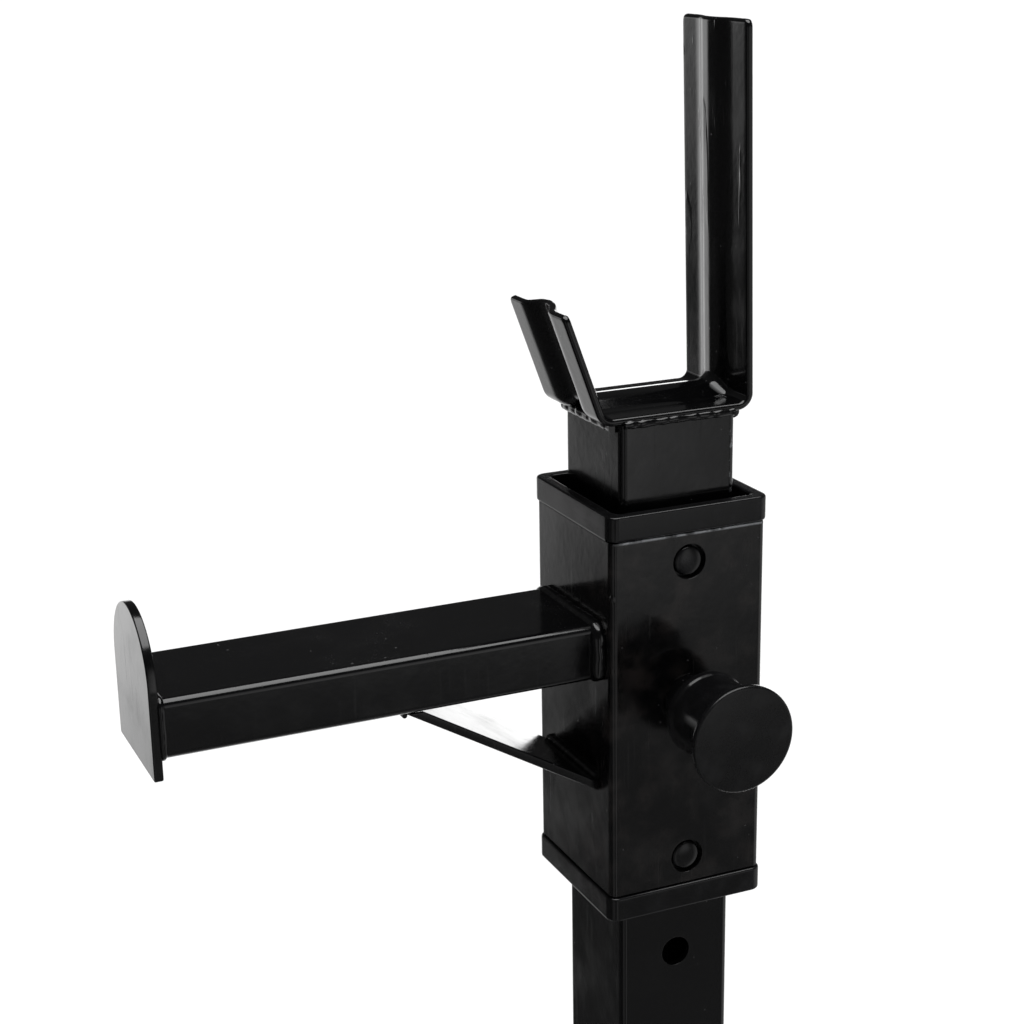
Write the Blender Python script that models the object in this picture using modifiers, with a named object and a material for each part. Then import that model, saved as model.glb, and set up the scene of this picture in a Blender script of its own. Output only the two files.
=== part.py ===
"""A free-standing adjustable bar stand: a barbell catch on a telescoping post, with a sliding spotter arm.

Metres, +Z up, origin on the floor under the middle of the post.  -Y is the lifter's side, where the arm
points, and +X is the side of the pull-pin knobs.
"""
import math

import bmesh
import bpy
from mathutils import Matrix

# ---------------------------------------------------------------- driving dimensions
GAP = 0.0003                 # clearance between pieces that touch
POST = 0.050                 # side of the square post
POST_WALL = 0.003
POST_TOP = 1.133             # height of the post's upper end
POST_LENGTH = 0.879
SLEEVE = 0.068               # side of the sliding sleeve
SLEEVE_WALL = 0.003
SLEEVE_TOP = POST_TOP - 0.0435
SLEEVE_BOTTOM = POST_TOP - 0.193
COLUMN = 0.060               # side of the fixed outer column
COLUMN_WALL = 0.0025
COLUMN_TOP = 0.560
CORNER = 0.003               # outer corner radius of the square tubes

HOLE_PITCH = 0.058
HOLE_COUNT = 14
HOLE_RADIUS = 0.0063
SLEEVE_PIN_Z = POST_TOP - 0.1132
COLUMN_PIN_Z = SLEEVE_PIN_Z - 9 * HOLE_PITCH

PLATE = 0.003                # thickness of the bar catch
CATCH_WIDTH = 0.050
CATCH_HEIGHT = 0.148
CATCH_BACK = 0.0322          # outer face of the tall leg, at its foot
CATCH_LEAN = math.radians(1.2)   # the tall leg leans in over the bar
LIP_LENGTH = 0.0466          # from the corner that the lip would make with the tray
LIP_LEAN = math.radians(20)  # how far the short leg leans out from the vertical
LIP_ROOT_Y = -0.0331         # where that corner is
FRONT_BEND = 0.0075          # outer bend radii
BACK_BEND = 0.0055
TIGHTEST_BEND = 0.0045       # on the rib's outer skin
RIB_DEPTH = 0.0045
RIB_BASE = 0.0122            # half widths of the pressed rib at its foot and its crest
RIB_CREST = 0.0025
LEG_PRESS = 0.58             # share of the rib's depth that is left on the tall leg

ARM_WIDTH = 0.052
ARM_HEIGHT = 0.023
ARM_WALL = 0.0025
ARM_TOP = POST_TOP - 0.0785
ARM_LENGTH = 0.175
END_PLATE = 0.0035
END_PLATE_RISE = 0.029       # above the arm
END_PLATE_DROP = 0.008       # below the arm
BRACE_REACH = 0.074
BRACE_DROP = 0.044
BRACE_WIDTH = 0.048
BRACE_THICK = 0.0035

RAIL = 0.050                 # side of the floor tubes
RAIL_WALL = 0.003
FOOT_PAD = 0.006
RAIL_BOTTOM = FOOT_PAD + GAP
RAIL_TOP = RAIL_BOTTOM + RAIL
BASE_HALF_Y = 0.300
FOOT_HALF_X = 0.210
FLANGE = 0.006
FLANGE_TOP = RAIL_TOP + GAP + FLANGE
BOLT_SPOTS = [(x, y) for y in (-0.058, 0.058) for x in (-0.015, 0.015)]
BOLT_RADIUS = 0.004

OBJECT = "bar_stand"


# ---------------------------------------------------------------- scene and materials
def clear_scene():
    for thing in list(bpy.data.objects):
        bpy.data.objects.remove(thing, do_unlink=True)


def make_collection(name):
    collection = bpy.data.collections.new(name)
    bpy.context.scene.collection.children.link(collection)
    return collection


def make_material(name, colour, roughness, metallic):
    material = bpy.data.materials.new(name)
    material.use_nodes = True
    shader = material.node_tree.nodes["Principled BSDF"]
    shader.inputs["Base Color"].default_value = (*colour, 1.0)
    shader.inputs["Roughness"].default_value = roughness
    shader.inputs["Metallic"].default_value = metallic
    return material


clear_scene()
PARTS = make_collection(OBJECT)
CUTTERS = make_collection("cutters")
BLACK_PAINT = make_material("black_paint", (0.006, 0.006, 0.007), 0.12, 0.0)
BLACK_PLASTIC = make_material("black_plastic", (0.012, 0.012, 0.013), 0.35, 0.0)
BRIGHT_STEEL = make_material("bright_steel", (0.55, 0.56, 0.58), 0.3, 1.0)
RUBBER = make_material("rubber", (0.02, 0.02, 0.02), 0.8, 0.0)


# ---------------------------------------------------------------- object helpers
def place(name, mesh, material, cutter=False):
    """Make an object from a mesh, in the parts' collection or the cutters'."""
    thing = bpy.data.objects.new(name, mesh)
    if cutter:
        CUTTERS.objects.link(thing)
        thing.hide_render = True
        thing.display_type = "WIRE"
    else:
        PARTS.objects.link(thing)
        mesh.materials.append(material)
    return thing


def mesh_from(shape, name):
    mesh = bpy.data.meshes.new(name)
    bmesh.ops.recalc_face_normals(shape, faces=shape.faces)
    shape.to_mesh(mesh)
    shape.free()
    return mesh


def cut(target, cutter, operation="DIFFERENCE"):
    modifier = target.modifiers.new("cut", "BOOLEAN")
    modifier.operation = operation
    modifier.object = cutter
    return target


def rounded_rectangle(width, height, radius, steps=3):
    """Corner arcs of a rectangle round the origin, anticlockwise."""
    points = []
    for turn, (sx, sy) in enumerate(((1, 1), (-1, 1), (-1, -1), (1, -1))):
        for step in range(steps + 1):
            angle = (turn + step / steps) * math.pi / 2
            x = sx * (width / 2 - radius) + radius * math.cos(angle)
            y = sy * (height / 2 - radius) + radius * math.sin(angle)
            points.append((x, y))
    return points


def prism(name, outline, near, far, axis, material, cutter=False):
    """Extrude an outline from near to far along an axis.

    The outline's two coordinates are X and Y for axis Z, X and Z for axis Y, and Y and Z for axis X.
    """
    place_point = {
        "Z": lambda u, v, w: (u, v, w),
        "Y": lambda u, v, w: (u, w, v),
        "X": lambda u, v, w: (w, u, v),
    }[axis]
    shape = bmesh.new()
    base = shape.faces.new([shape.verts.new(place_point(u, v, near)) for u, v in outline])
    moved = bmesh.ops.extrude_face_region(shape, geom=[base])
    tops = [part for part in moved["geom"] if isinstance(part, bmesh.types.BMVert)]
    bmesh.ops.translate(shape, verts=tops, vec=place_point(0, 0, far - near))
    return place(name, mesh_from(shape, name), material, cutter)


def shifted(outline, du, dv):
    return [(u + du, v + dv) for u, v in outline]


def square_tube(name, width, height, wall, near, far, axis, centre, material, rings=()):
    """A rolled tube: an open skin round the outline, thickened inwards, with extra edge rings at some heights."""
    outline = shifted(rounded_rectangle(width, height, CORNER), *centre)
    thing = prism(name, outline, near, far, axis, material)
    shape = bmesh.new()
    shape.from_mesh(thing.data)
    ends = [face for face in shape.faces if len(face.verts) > 4]
    bmesh.ops.delete(shape, geom=ends, context="FACES_ONLY")
    for ring in rings:
        everything = shape.verts[:] + shape.edges[:] + shape.faces[:]
        bmesh.ops.bisect_plane(shape, geom=everything, plane_co=(0, 0, ring), plane_no=(0, 0, 1), dist=GAP / 100)
    shape.to_mesh(thing.data)
    shape.free()
    shell = thing.modifiers.new("wall", "SOLIDIFY")
    shell.thickness = wall
    shell.offset = -1.0
    shell.use_even_offset = True
    return thing


def rod_cutter(name, radius, centre, length, axis, segments=20):
    """A round cutter, centred, along an axis."""
    shape = bmesh.new()
    bmesh.ops.create_cone(shape, cap_ends=True, segments=segments, radius1=radius, radius2=radius, depth=length)
    turn = {"Z": Matrix(), "X": Matrix.Rotation(math.pi / 2, 4, "Y"), "Y": Matrix.Rotation(math.pi / 2, 4, "X")}
    bmesh.ops.transform(shape, matrix=turn[axis], verts=shape.verts)
    thing = place(name, mesh_from(shape, name), None, cutter=True)
    thing.location = centre
    return thing


def turned(name, profile, origin, material, along_x=True, steps=32, closed=False):
    """Spin (radius, height) points round the local Z axis, which then points along +X or +Z."""
    mesh = bpy.data.meshes.new(name)
    edges = [(i, i + 1) for i in range(len(profile) - 1)]
    if closed:
        edges.append((len(profile) - 1, 0))
    mesh.from_pydata([(radius, 0.0, height) for radius, height in profile], edges, [])
    thing = place(name, mesh, material)
    spin = thing.modifiers.new("spin", "SCREW")
    spin.axis = "Z"
    spin.angle = 2 * math.pi
    spin.steps = steps
    spin.render_steps = steps
    spin.use_merge_vertices = True
    spin.merge_threshold = 0.00001
    spin.use_smooth_shade = True
    thing.location = origin
    if along_x:
        thing.rotation_euler = (0.0, math.pi / 2, 0.0)
    return thing


# ---------------------------------------------------------------- the telescoping post
def make_post():
    between_holes = [SLEEVE_PIN_Z + (0.5 - index) * HOLE_PITCH for index in range(HOLE_COUNT + 1)]
    post = square_tube("post_tube", POST, POST, POST_WALL, POST_TOP - POST_LENGTH, POST_TOP - GAP, "Z", (0, 0),
                       BLACK_PAINT, between_holes)
    for index in range(HOLE_COUNT):
        height = SLEEVE_PIN_Z - index * HOLE_PITCH
        cut(post, rod_cutter(f"post_hole_{index}", HOLE_RADIUS, (POST / 2, 0, height), 0.012, "X"))


def make_post_glide():
    """The moulded plug in the post's lower end, which runs on the column's inner walls."""
    bottom = POST_TOP - POST_LENGTH
    flange = POST_TOP - POST_LENGTH - 0.010
    outer = COLUMN - 2 * COLUMN_WALL - 4 * GAP
    inner = POST - 2 * POST_WALL - 2 * GAP
    glide = prism("post_glide", rounded_rectangle(outer, outer, CORNER), flange, bottom - GAP, "Z", BLACK_PLASTIC)
    plug = prism("glide_plug", rounded_rectangle(inner, inner, 0.001), bottom - 0.005, bottom + 0.025, "Z", None, True)
    cut(glide, plug, "UNION")


def catch_path(lift):
    """Side outline (y, z) of the catch's outer skin, raised by lift, from the lip's tip to the tall leg's tip."""
    radius = max(FRONT_BEND - lift, TIGHTEST_BEND)
    rise = lift + radius
    centre = (LIP_ROOT_Y + rise * (1 - math.sin(LIP_LEAN)) / math.cos(LIP_LEAN), rise)
    along = (-math.sin(LIP_LEAN), math.cos(LIP_LEAN))
    inward = (math.cos(LIP_LEAN), math.sin(LIP_LEAN))
    points = []
    for back in LIP_STATIONS:
        reach = LIP_LENGTH - back
        points.append((LIP_ROOT_Y + lift * inward[0] + reach * along[0], lift * inward[1] + reach * along[1]))
    for step in range(9):
        angle = math.pi + LIP_LEAN + step / 8 * (math.pi / 2 - LIP_LEAN)
        points.append((centre[0] + radius * math.cos(angle), centre[1] + radius * math.sin(angle)))
    radius = max(BACK_BEND - lift, TIGHTEST_BEND)
    centre = (CATCH_BACK - lift - radius, lift + radius)
    for step in range(7):
        angle = -math.pi / 2 + step / 6 * math.pi / 2
        eased = lift * (1 - LEG_PRESS) * step / 6
        points.append((centre[0] + radius * math.cos(angle) + eased, centre[1] + radius * math.sin(angle)))
    for back in reversed(LIP_STATIONS):
        height = CATCH_HEIGHT - back
        leaned = (height - centre[1]) * math.tan(CATCH_LEAN)
        points.append((CATCH_BACK - lift * LEG_PRESS - leaned, height))
    return points


CORNER_ROUND = 0.003
LIP_STATIONS = [CORNER_ROUND * (1 - math.cos(step / 4 * math.pi / 2)) for step in range(5)]


def catch_section():
    """(x, lift) points across the catch: two flats and a rounded rib between them."""
    half = [(RIB_CREST * 0.5, 1.0), (RIB_CREST, 0.94), (0.0040, 0.84), (0.0105, 0.13), (RIB_BASE, 0.03), (0.0135, 0.0)]
    right = [(x, lift * RIB_DEPTH) for x, lift in half]
    left = [(-x, lift) for x, lift in reversed(right)]
    return [(-CATCH_WIDTH / 2, 0.0)] + left + right + [(CATCH_WIDTH / 2, 0.0)]


def make_catch():
    """A bent plate with a pressed rib, as an open skin that is thickened towards the bar."""
    section = catch_section()
    paths = [catch_path(lift) for _, lift in section]
    stations = len(paths[0])
    shape = bmesh.new()
    rows = []
    for station in range(stations):
        from_end = min(station, stations - 1 - station)
        pull = 0.0
        if from_end < len(LIP_STATIONS):
            pull = CORNER_ROUND * (1 - math.sin(from_end / 4 * math.pi / 2))
        row = []
        for index, (x, _) in enumerate(section):
            if index == 0:
                x += pull
            if index == len(section) - 1:
                x -= pull
            y, z = paths[index][station]
            row.append(shape.verts.new((x, y, POST_TOP + z)))
        rows.append(row)
    for row, following in zip(rows, rows[1:]):
        for index in range(len(section) - 1):
            shape.faces.new((row[index], row[index + 1], following[index + 1], following[index]))
    mesh = bpy.data.meshes.new("bar_catch")
    shape.to_mesh(mesh)
    shape.free()
    catch = place("bar_catch", mesh, BLACK_PAINT)
    shell = catch.modifiers.new("plate", "SOLIDIFY")
    shell.thickness = PLATE
    shell.offset = 1.0
    shell.use_even_offset = True


def make_catch_welds():
    face = POST / 2 + GAP
    bead = 0.0023
    half_round = [(bead * math.sin(a), bead * math.cos(a)) for a in (0, 0.6, 1.2, math.pi / 2, 1.94, 2.54, math.pi)]
    right = shifted(half_round, face, POST_TOP)
    left = [(-x, z) for x, z in right]
    prism("catch_weld_right", right, -0.0240, 0.0240, "Y", BLACK_PAINT)
    prism("catch_weld_left", left, -0.0240, 0.0240, "Y", BLACK_PAINT)
    front = shifted([(-face, -0.0040), (-face, -0.0004), (-0.0300, -0.0001), (-0.0290, -0.0016)], 0, POST_TOP)
    back = shifted([(face, -0.0050), (face, -0.0004), (0.0268, -0.0004), (0.0280, -0.0002), (0.0284, -0.0010)], 0,
                   POST_TOP)
    prism("catch_weld_front", front, -0.021, 0.021, "X", BLACK_PAINT)
    prism("catch_weld_back", back, -0.021, 0.021, "X", BLACK_PAINT)


# ---------------------------------------------------------------- the sliding sleeve and its arm
SNAP_RADIUS = 0.0061
SNAP_SPOTS = {"top": POST_TOP - 0.055, "bottom": POST_TOP - 0.181}


def make_sleeve():
    sleeve = square_tube("sleeve_tube", SLEEVE, SLEEVE, SLEEVE_WALL, SLEEVE_BOTTOM, SLEEVE_TOP, "Z", (0, 0),
                         BLACK_PAINT)
    face = SLEEVE / 2
    cut(sleeve, rod_cutter("sleeve_pin_hole", HOLE_RADIUS, (face, 0, SLEEVE_PIN_Z), 0.012, "X"))
    for end, height in SNAP_SPOTS.items():
        for side in (-1, 1):
            name = f"sleeve_snap_hole_{end}_{side}"
            cut(sleeve, rod_cutter(name, SNAP_RADIUS + 0.0010, (side * face, 0, height), 0.012, "X", 24))


def make_bushing(name, end_z, inward, flange, flange_height, recess, skirt, skirt_length, material):
    """A moulded square bush: a flange on the tube's end, a skirt inside the tube, and a bore for the post.

    end_z is the tube's end, and inward is -1 where the skirt goes down and 1 where it goes up.
    """
    outer = end_z - inward * (flange_height + GAP)
    tip = end_z + inward * skirt_length
    seat = end_z - inward * GAP
    bush = prism(name, rounded_rectangle(flange, flange, 0.004), *sorted((outer, seat)), "Z", material)
    rim = bush.modifiers.new("soft_rim", "BEVEL")
    rim.width = 0.0015
    rim.segments = 2
    rim.limit_method = "ANGLE"
    skirt_span = sorted((seat - inward * 0.002, tip))
    cut(bush, prism(f"{name}_skirt", rounded_rectangle(skirt, skirt, CORNER), *skirt_span, "Z", None, True), "UNION")
    bore = POST + 0.0008
    bore_span = sorted((outer - inward * 0.01, tip + inward * 0.01))
    cut(bush, prism(f"{name}_bore", rounded_rectangle(bore, bore, CORNER), *bore_span, "Z", None, True))
    if recess:
        recess_span = sorted((outer - inward * 0.01, end_z))
        cut(bush, prism(f"{name}_recess", rounded_rectangle(recess, recess, 0.003), *recess_span, "Z", None, True))
    return bush


def add_snap_studs(bush, name, height):
    for side in (-1, 1):
        stud = rod_cutter(f"{name}_stud_{side}", SNAP_RADIUS, (side * 0.0310, 0, height), 0.0060, "X", 24)
        cut(bush, stud, "UNION")


def make_sleeve_bushings():
    flange = SLEEVE + 0.002
    recess = SLEEVE - 2 * SLEEVE_WALL - 0.002
    skirt = SLEEVE - 2 * SLEEVE_WALL - 2 * GAP
    for end, end_z, inward in (("top", SLEEVE_TOP, -1), ("bottom", SLEEVE_BOTTOM, 1)):
        name = f"sleeve_bushing_{end}"
        bush = make_bushing(name, end_z, inward, flange, 0.0102, recess, skirt, 0.024, BLACK_PLASTIC)
        add_snap_studs(bush, name, SNAP_SPOTS[end])


def make_arm():
    root = -SLEEVE / 2 - GAP
    tip = -SLEEVE / 2 - ARM_LENGTH
    middle = ARM_TOP - ARM_HEIGHT / 2
    square_tube("spotter_arm", ARM_WIDTH, ARM_HEIGHT, ARM_WALL, tip, root, "Y", (0, middle), BLACK_PAINT)
    make_end_plate(tip - GAP)
    make_brace()
    make_arm_welds(root, tip)


def make_end_plate(inner_face):
    """A flat plate with a half-round top, which stops the bar from rolling off the arm."""
    radius = ARM_WIDTH / 2
    crown = ARM_TOP + END_PLATE_RISE - radius
    bottom = ARM_TOP - ARM_HEIGHT - END_PLATE_DROP
    outline = [(radius * math.cos(a), crown + radius * math.sin(a)) for a in (math.pi * k / 20 for k in range(21))]
    outline += [(-radius, bottom), (radius, bottom)]
    prism("arm_end_plate", outline, inner_face - END_PLATE, inner_face, "Y", BLACK_PAINT)


def make_brace():
    """A flat bar from under the arm down to the sleeve, its ends cut to lie on both."""
    face = -SLEEVE / 2 - GAP
    under = ARM_TOP - ARM_HEIGHT - GAP
    slope = BRACE_DROP / BRACE_REACH
    drop = BRACE_THICK * math.hypot(1, slope)
    outline = [
        (face - BRACE_REACH, under),
        (face - BRACE_REACH - drop / slope, under),
        (face, under - BRACE_DROP - drop),
        (face, under - BRACE_DROP),
    ]
    prism("arm_brace", outline, -BRACE_WIDTH / 2, BRACE_WIDTH / 2, "X", BLACK_PAINT)


def weld_frame(name, face_y, reach_y, leg):
    """A fillet bead all round the arm, against the flat face at face_y and tapering towards reach_y."""
    middle = ARM_TOP - ARM_HEIGHT / 2
    width = ARM_WIDTH + 2 * GAP
    height = ARM_HEIGHT + 2 * GAP
    shape = bmesh.new()
    for y, spread in ((face_y, leg), (reach_y, 0.0007)):
        for x, z in rounded_rectangle(width + 2 * spread, height + 2 * spread, CORNER):
            shape.verts.new((x, y, middle + z))
    bmesh.ops.convex_hull(shape, input=shape.verts)
    bead = place(name, mesh_from(shape, name), BLACK_PAINT)
    core = shifted(rounded_rectangle(width, height, CORNER), 0, middle)
    span = sorted((face_y, reach_y))
    cut(bead, prism(f"{name}_core", core, span[0] - 0.01, span[1] + 0.01, "Y", None, True))


def make_arm_welds(root, tip):
    weld_frame("arm_root_weld", root, root - 0.0045, 0.0040)
    weld_frame("end_plate_weld", tip, tip + 0.0035, 0.0030)
    face = -SLEEVE / 2 - GAP
    under = ARM_TOP - ARM_HEIGHT - GAP
    slope = BRACE_DROP / BRACE_REACH
    low = under - BRACE_DROP
    lower = [(face, low + GAP), (face, low + 0.0045), (face - 0.0030, low + 0.0021 + GAP)]
    far = face - BRACE_REACH - BRACE_THICK * math.hypot(1, slope) / slope
    upper = [(far - GAP, under), (far - 0.0035, under), (far + 0.0022, under - 0.0018 - GAP)]
    half = BRACE_WIDTH / 2 - 0.001
    prism("brace_weld_lower", lower, -half, half, "X", BLACK_PAINT)
    prism("brace_weld_upper", upper, -half, half, "X", BLACK_PAINT)


# ---------------------------------------------------------------- the spring-loaded pull pins
KNOB_PROFILE = [
    (0.0, 0.0445), (0.0203, 0.0445), (0.0212, 0.0441), (0.0215, 0.0433), (0.0215, 0.0418), (0.0209, 0.0408),
    (0.0182, 0.0394), (0.0174, 0.0375), (0.0166, 0.0180), (0.0172, 0.0164), (0.0172, 0.0148), (0.0164, 0.0134),
    (0.0119, 0.0132), (0.0119, 0.0280), (0.0044, 0.0280), (0.0044, 0.0380), (0.0, 0.0380),
]
PIN_RADIUS = 0.0059
SHANK_RADIUS = 0.0041
BOSS_LENGTH = 0.0124


def make_pin_set(prefix, face, tip, height):
    """A housing on the tube's face, and the rod, spring and knob that slide in it along X."""
    origin = (face, 0.0, height)
    housing = [(0.0110, BOSS_LENGTH), (0.0110, GAP), (0.0063, GAP), (0.0063, 0.0082), (0.0044, 0.0082),
               (0.0044, BOSS_LENGTH)]
    turned(f"{prefix}_pin_boss", housing, origin, BLACK_PAINT, closed=True)
    end = tip - face
    rod = [(0.0, 0.0377), (SHANK_RADIUS, 0.0377), (SHANK_RADIUS, 0.0025), (PIN_RADIUS, 0.0025),
           (PIN_RADIUS, end + 0.0015), (0.0046, end), (0.0, end)]
    turned(f"{prefix}_pin_rod", rod, origin, BRIGHT_STEEL, steps=24)
    turned(f"{prefix}_pin_knob", KNOB_PROFILE, origin, BLACK_PLASTIC, steps=40)
    make_pin_spring(f"{prefix}_pin_spring", face, height)


def make_pin_spring(name, face, height):
    """Three turns of wire round the shank, between the rod's shoulder and the housing's end wall."""
    turns, per_turn, start, pitch, radius = 3, 14, 0.0032, 0.0014, 0.0052
    curve = bpy.data.curves.new(name, "CURVE")
    curve.dimensions = "3D"
    wire = curve.splines.new("POLY")
    wire.points.add(turns * per_turn)
    for index, point in enumerate(wire.points):
        angle = 2 * math.pi * index / per_turn
        along = face + start + pitch * index / per_turn
        point.co = (along, radius * math.cos(angle), height + radius * math.sin(angle), 1.0)
    curve.bevel_depth = 0.00045
    curve.bevel_resolution = 1
    curve.use_fill_caps = True
    curve.materials.append(BRIGHT_STEEL)
    PARTS.objects.link(bpy.data.objects.new(name, curve))


# ---------------------------------------------------------------- the base
def make_column():
    column = square_tube("column_tube", COLUMN, COLUMN, COLUMN_WALL, FLANGE_TOP + GAP, COLUMN_TOP, "Z", (0, 0),
                         BLACK_PAINT)
    cut(column, rod_cutter("column_pin_hole", HOLE_RADIUS, (COLUMN / 2, 0, COLUMN_PIN_Z), 0.012, "X"))
    skirt = COLUMN - 2 * COLUMN_WALL - 2 * GAP
    make_bushing("column_bushing", COLUMN_TOP, -1, COLUMN + 0.002, 0.008, None, skirt, 0.026, BLACK_PLASTIC)
    outline = rounded_rectangle(RAIL, 0.150, 0.004)
    plate = prism("column_flange", outline, RAIL_TOP + GAP, FLANGE_TOP, "Z", BLACK_PAINT)
    cut_bolt_holes(plate, FLANGE_TOP)
    for side, label in ((-1, "front"), (1, "back")):
        near = side * (COLUMN / 2 + GAP)
        low = FLANGE_TOP + GAP
        outline = [(near, low), (side * 0.072, low), (side * 0.072, low + 0.008), (near + side * 0.008, low + 0.075),
                   (near, low + 0.075)]
        prism(f"gusset_{label}", outline, -0.002, 0.002, "X", BLACK_PAINT)


def cut_bolt_holes(plate, height):
    for index, (x, y) in enumerate(BOLT_SPOTS):
        cut(plate, rod_cutter(f"{plate.name}_hole_{index}", BOLT_RADIUS + GAP, (x, y, height), 0.020, "Z", 16))


def make_bolts():
    for index, (x, y) in enumerate(BOLT_SPOTS, start=1):
        shape = bmesh.new()
        bmesh.ops.create_cone(shape, cap_ends=True, segments=6, radius1=0.0075, radius2=0.0070, depth=0.0053)
        name = f"flange_bolt_{index}"
        bolt = place(name, mesh_from(shape, name), BRIGHT_STEEL)
        bolt.location = (x, y, FLANGE_TOP + 0.0016 + 2 * GAP + 0.00265)
        shank_top = FLANGE_TOP + 0.004
        shank = rod_cutter(f"{name}_shank", BOLT_RADIUS, (x, y, shank_top - 0.0125), 0.025, "Z", 16)
        cut(bolt, shank, "UNION")
        washer = [(0.0085, 0.0016), (0.0085, 0.0), (0.0044, 0.0), (0.0044, 0.0016)]
        spot = (x, y, FLANGE_TOP + GAP)
        turned(f"flange_washer_{index}", washer, spot, BRIGHT_STEEL, along_x=False, steps=20, closed=True)


def make_floor_frame():
    middle = (RAIL_BOTTOM + RAIL_TOP) / 2
    foot_y = BASE_HALF_Y - RAIL / 2
    reach = BASE_HALF_Y - RAIL - GAP
    rail = square_tube("base_rail", RAIL, RAIL, RAIL_WALL, -reach, reach, "Y", (0, middle), BLACK_PAINT)
    cut_bolt_holes(rail, RAIL_TOP)
    for side_y, label in ((-1, "front"), (1, "back")):
        centre = (side_y * foot_y, middle)
        square_tube(f"cross_foot_{label}", RAIL, RAIL, RAIL_WALL, -FOOT_HALF_X, FOOT_HALF_X, "X", centre, BLACK_PAINT)
        for side_x, hand in ((-1, "left"), (1, "right")):
            make_foot_cap(f"foot_cap_{label}_{hand}", side_x, centre)
            pad = [(0.0, FOOT_PAD), (0.0190, FOOT_PAD), (0.0200, 0.0050), (0.0215, 0.0), (0.0, 0.0)]
            spot = (side_x * 0.180, side_y * foot_y, 0.0)
            turned(f"rubber_foot_{label}_{hand}", pad, spot, RUBBER, along_x=False, steps=28)


def make_foot_cap(name, side, centre):
    face = side * (FOOT_HALF_X + GAP)
    outer = face + side * 0.004
    cap = prism(name, shifted(rounded_rectangle(RAIL, RAIL, 0.004), *centre), *sorted((face, outer)), "X",
                BLACK_PLASTIC)
    inner = RAIL - 2 * RAIL_WALL - 2 * GAP
    plug = shifted(rounded_rectangle(inner, inner, 0.001), *centre)
    span = sorted((face + side * 0.002, face - side * 0.018))
    cut(cap, prism(f"{name}_plug", plug, *span, "X", None, True), "UNION")


make_post()
make_post_glide()
make_catch()
make_catch_welds()
make_sleeve()
make_sleeve_bushings()
make_arm()
make_pin_set("sleeve", SLEEVE / 2, 0.0265, SLEEVE_PIN_Z)
make_pin_set("column", COLUMN / 2, 0.0260, COLUMN_PIN_Z)
make_column()
make_bolts()
make_floor_frame()
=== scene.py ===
# %% [markdown]
# # A barbell stand with a bar catch and a spotter arm
#
# The real object is welded from square steel tube and stoved in gloss black enamel. A post with a
# row of pin holes slides in a fixed column. A sleeve slides on the post and carries a short arm,
# and a spring-loaded pull pin locks each slide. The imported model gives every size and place, so
# this lesson only makes each piece look like what it is.

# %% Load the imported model
import math

import bmesh
import bpy
from mathutils import Matrix, Vector


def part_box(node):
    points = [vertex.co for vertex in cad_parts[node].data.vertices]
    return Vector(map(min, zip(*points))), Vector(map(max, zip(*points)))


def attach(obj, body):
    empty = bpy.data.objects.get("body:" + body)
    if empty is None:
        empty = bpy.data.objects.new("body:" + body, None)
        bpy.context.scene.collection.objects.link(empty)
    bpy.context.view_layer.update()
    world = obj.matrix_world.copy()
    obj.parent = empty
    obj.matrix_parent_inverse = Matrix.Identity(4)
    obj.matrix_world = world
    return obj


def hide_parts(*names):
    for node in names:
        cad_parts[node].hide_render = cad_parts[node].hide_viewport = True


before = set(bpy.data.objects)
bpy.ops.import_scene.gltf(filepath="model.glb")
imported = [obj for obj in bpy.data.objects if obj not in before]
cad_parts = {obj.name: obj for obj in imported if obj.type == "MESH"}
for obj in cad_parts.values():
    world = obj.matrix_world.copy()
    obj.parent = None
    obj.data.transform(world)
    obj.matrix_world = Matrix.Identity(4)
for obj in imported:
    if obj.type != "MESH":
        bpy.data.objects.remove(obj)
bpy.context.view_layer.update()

# %% [markdown]
# ## Nodes in one line each
#
# Every finish below is a tree of nodes. One helper adds a node: its properties come as keywords,
# and its inputs as a dictionary of plain values or of other nodes' sockets, which get linked.
# Colours are given as a maker would read them off a chart, in sRGB hex, and one function turns
# them into the linear light that the renderer works in.

# %% Node and colour helpers
def add(tree, kind, inputs=None, **settings):
    """Add a node with its settings; a socket given as an input is linked, anything else is set."""
    made = tree.nodes.new(kind)
    for name, value in settings.items():
        setattr(made, name, value)
    for key, value in (inputs or {}).items():
        if isinstance(value, bpy.types.NodeSocket):
            tree.links.new(value, made.inputs[key])
        else:
            made.inputs[key].default_value = value
    return made


def linear(hex_colour):
    """An sRGB hex colour as linear red, green, blue and alpha."""
    channels = [int(hex_colour[i:i + 2], 16) / 255 for i in (1, 3, 5)]
    light = [c / 12.92 if c <= 0.04045 else ((c + 0.055) / 1.055) ** 2.4 for c in channels]
    return (*light, 1.0)


def per_metre(millimetres):
    """The texture scale that gives features of about this size, since Object coordinates are metres."""
    return 1000 / millimetres


def ramp(tree, value, start, stop, low=0.0, high=1.0):
    """The output of a Map Range node, eased at both ends."""
    inputs = {0: value, 1: start, 2: stop, 3: low, 4: high}
    return add(tree, "ShaderNodeMapRange", inputs, interpolation_type="SMOOTHSTEP").outputs[0]


def math_of(tree, operation, first, *others):
    """The output of a Math node, or of a chain of them when there are more than two values."""
    value = first
    for other in others or (0.5,):
        value = add(tree, "ShaderNodeMath", {0: value, 1: other}, operation=operation).outputs[0]
    return value


def coordinate(tree, place, axis):
    """The X, Y or Z of a vector socket, as 0, 1 or 2."""
    return add(tree, "ShaderNodeSeparateXYZ", {0: place}).outputs[axis]


def blend(tree, share, first, second):
    """Mix two colours by a share."""
    inputs = {0: share, 6: first, 7: second}
    return add(tree, "ShaderNodeMix", inputs, data_type="RGBA").outputs[2]


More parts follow.
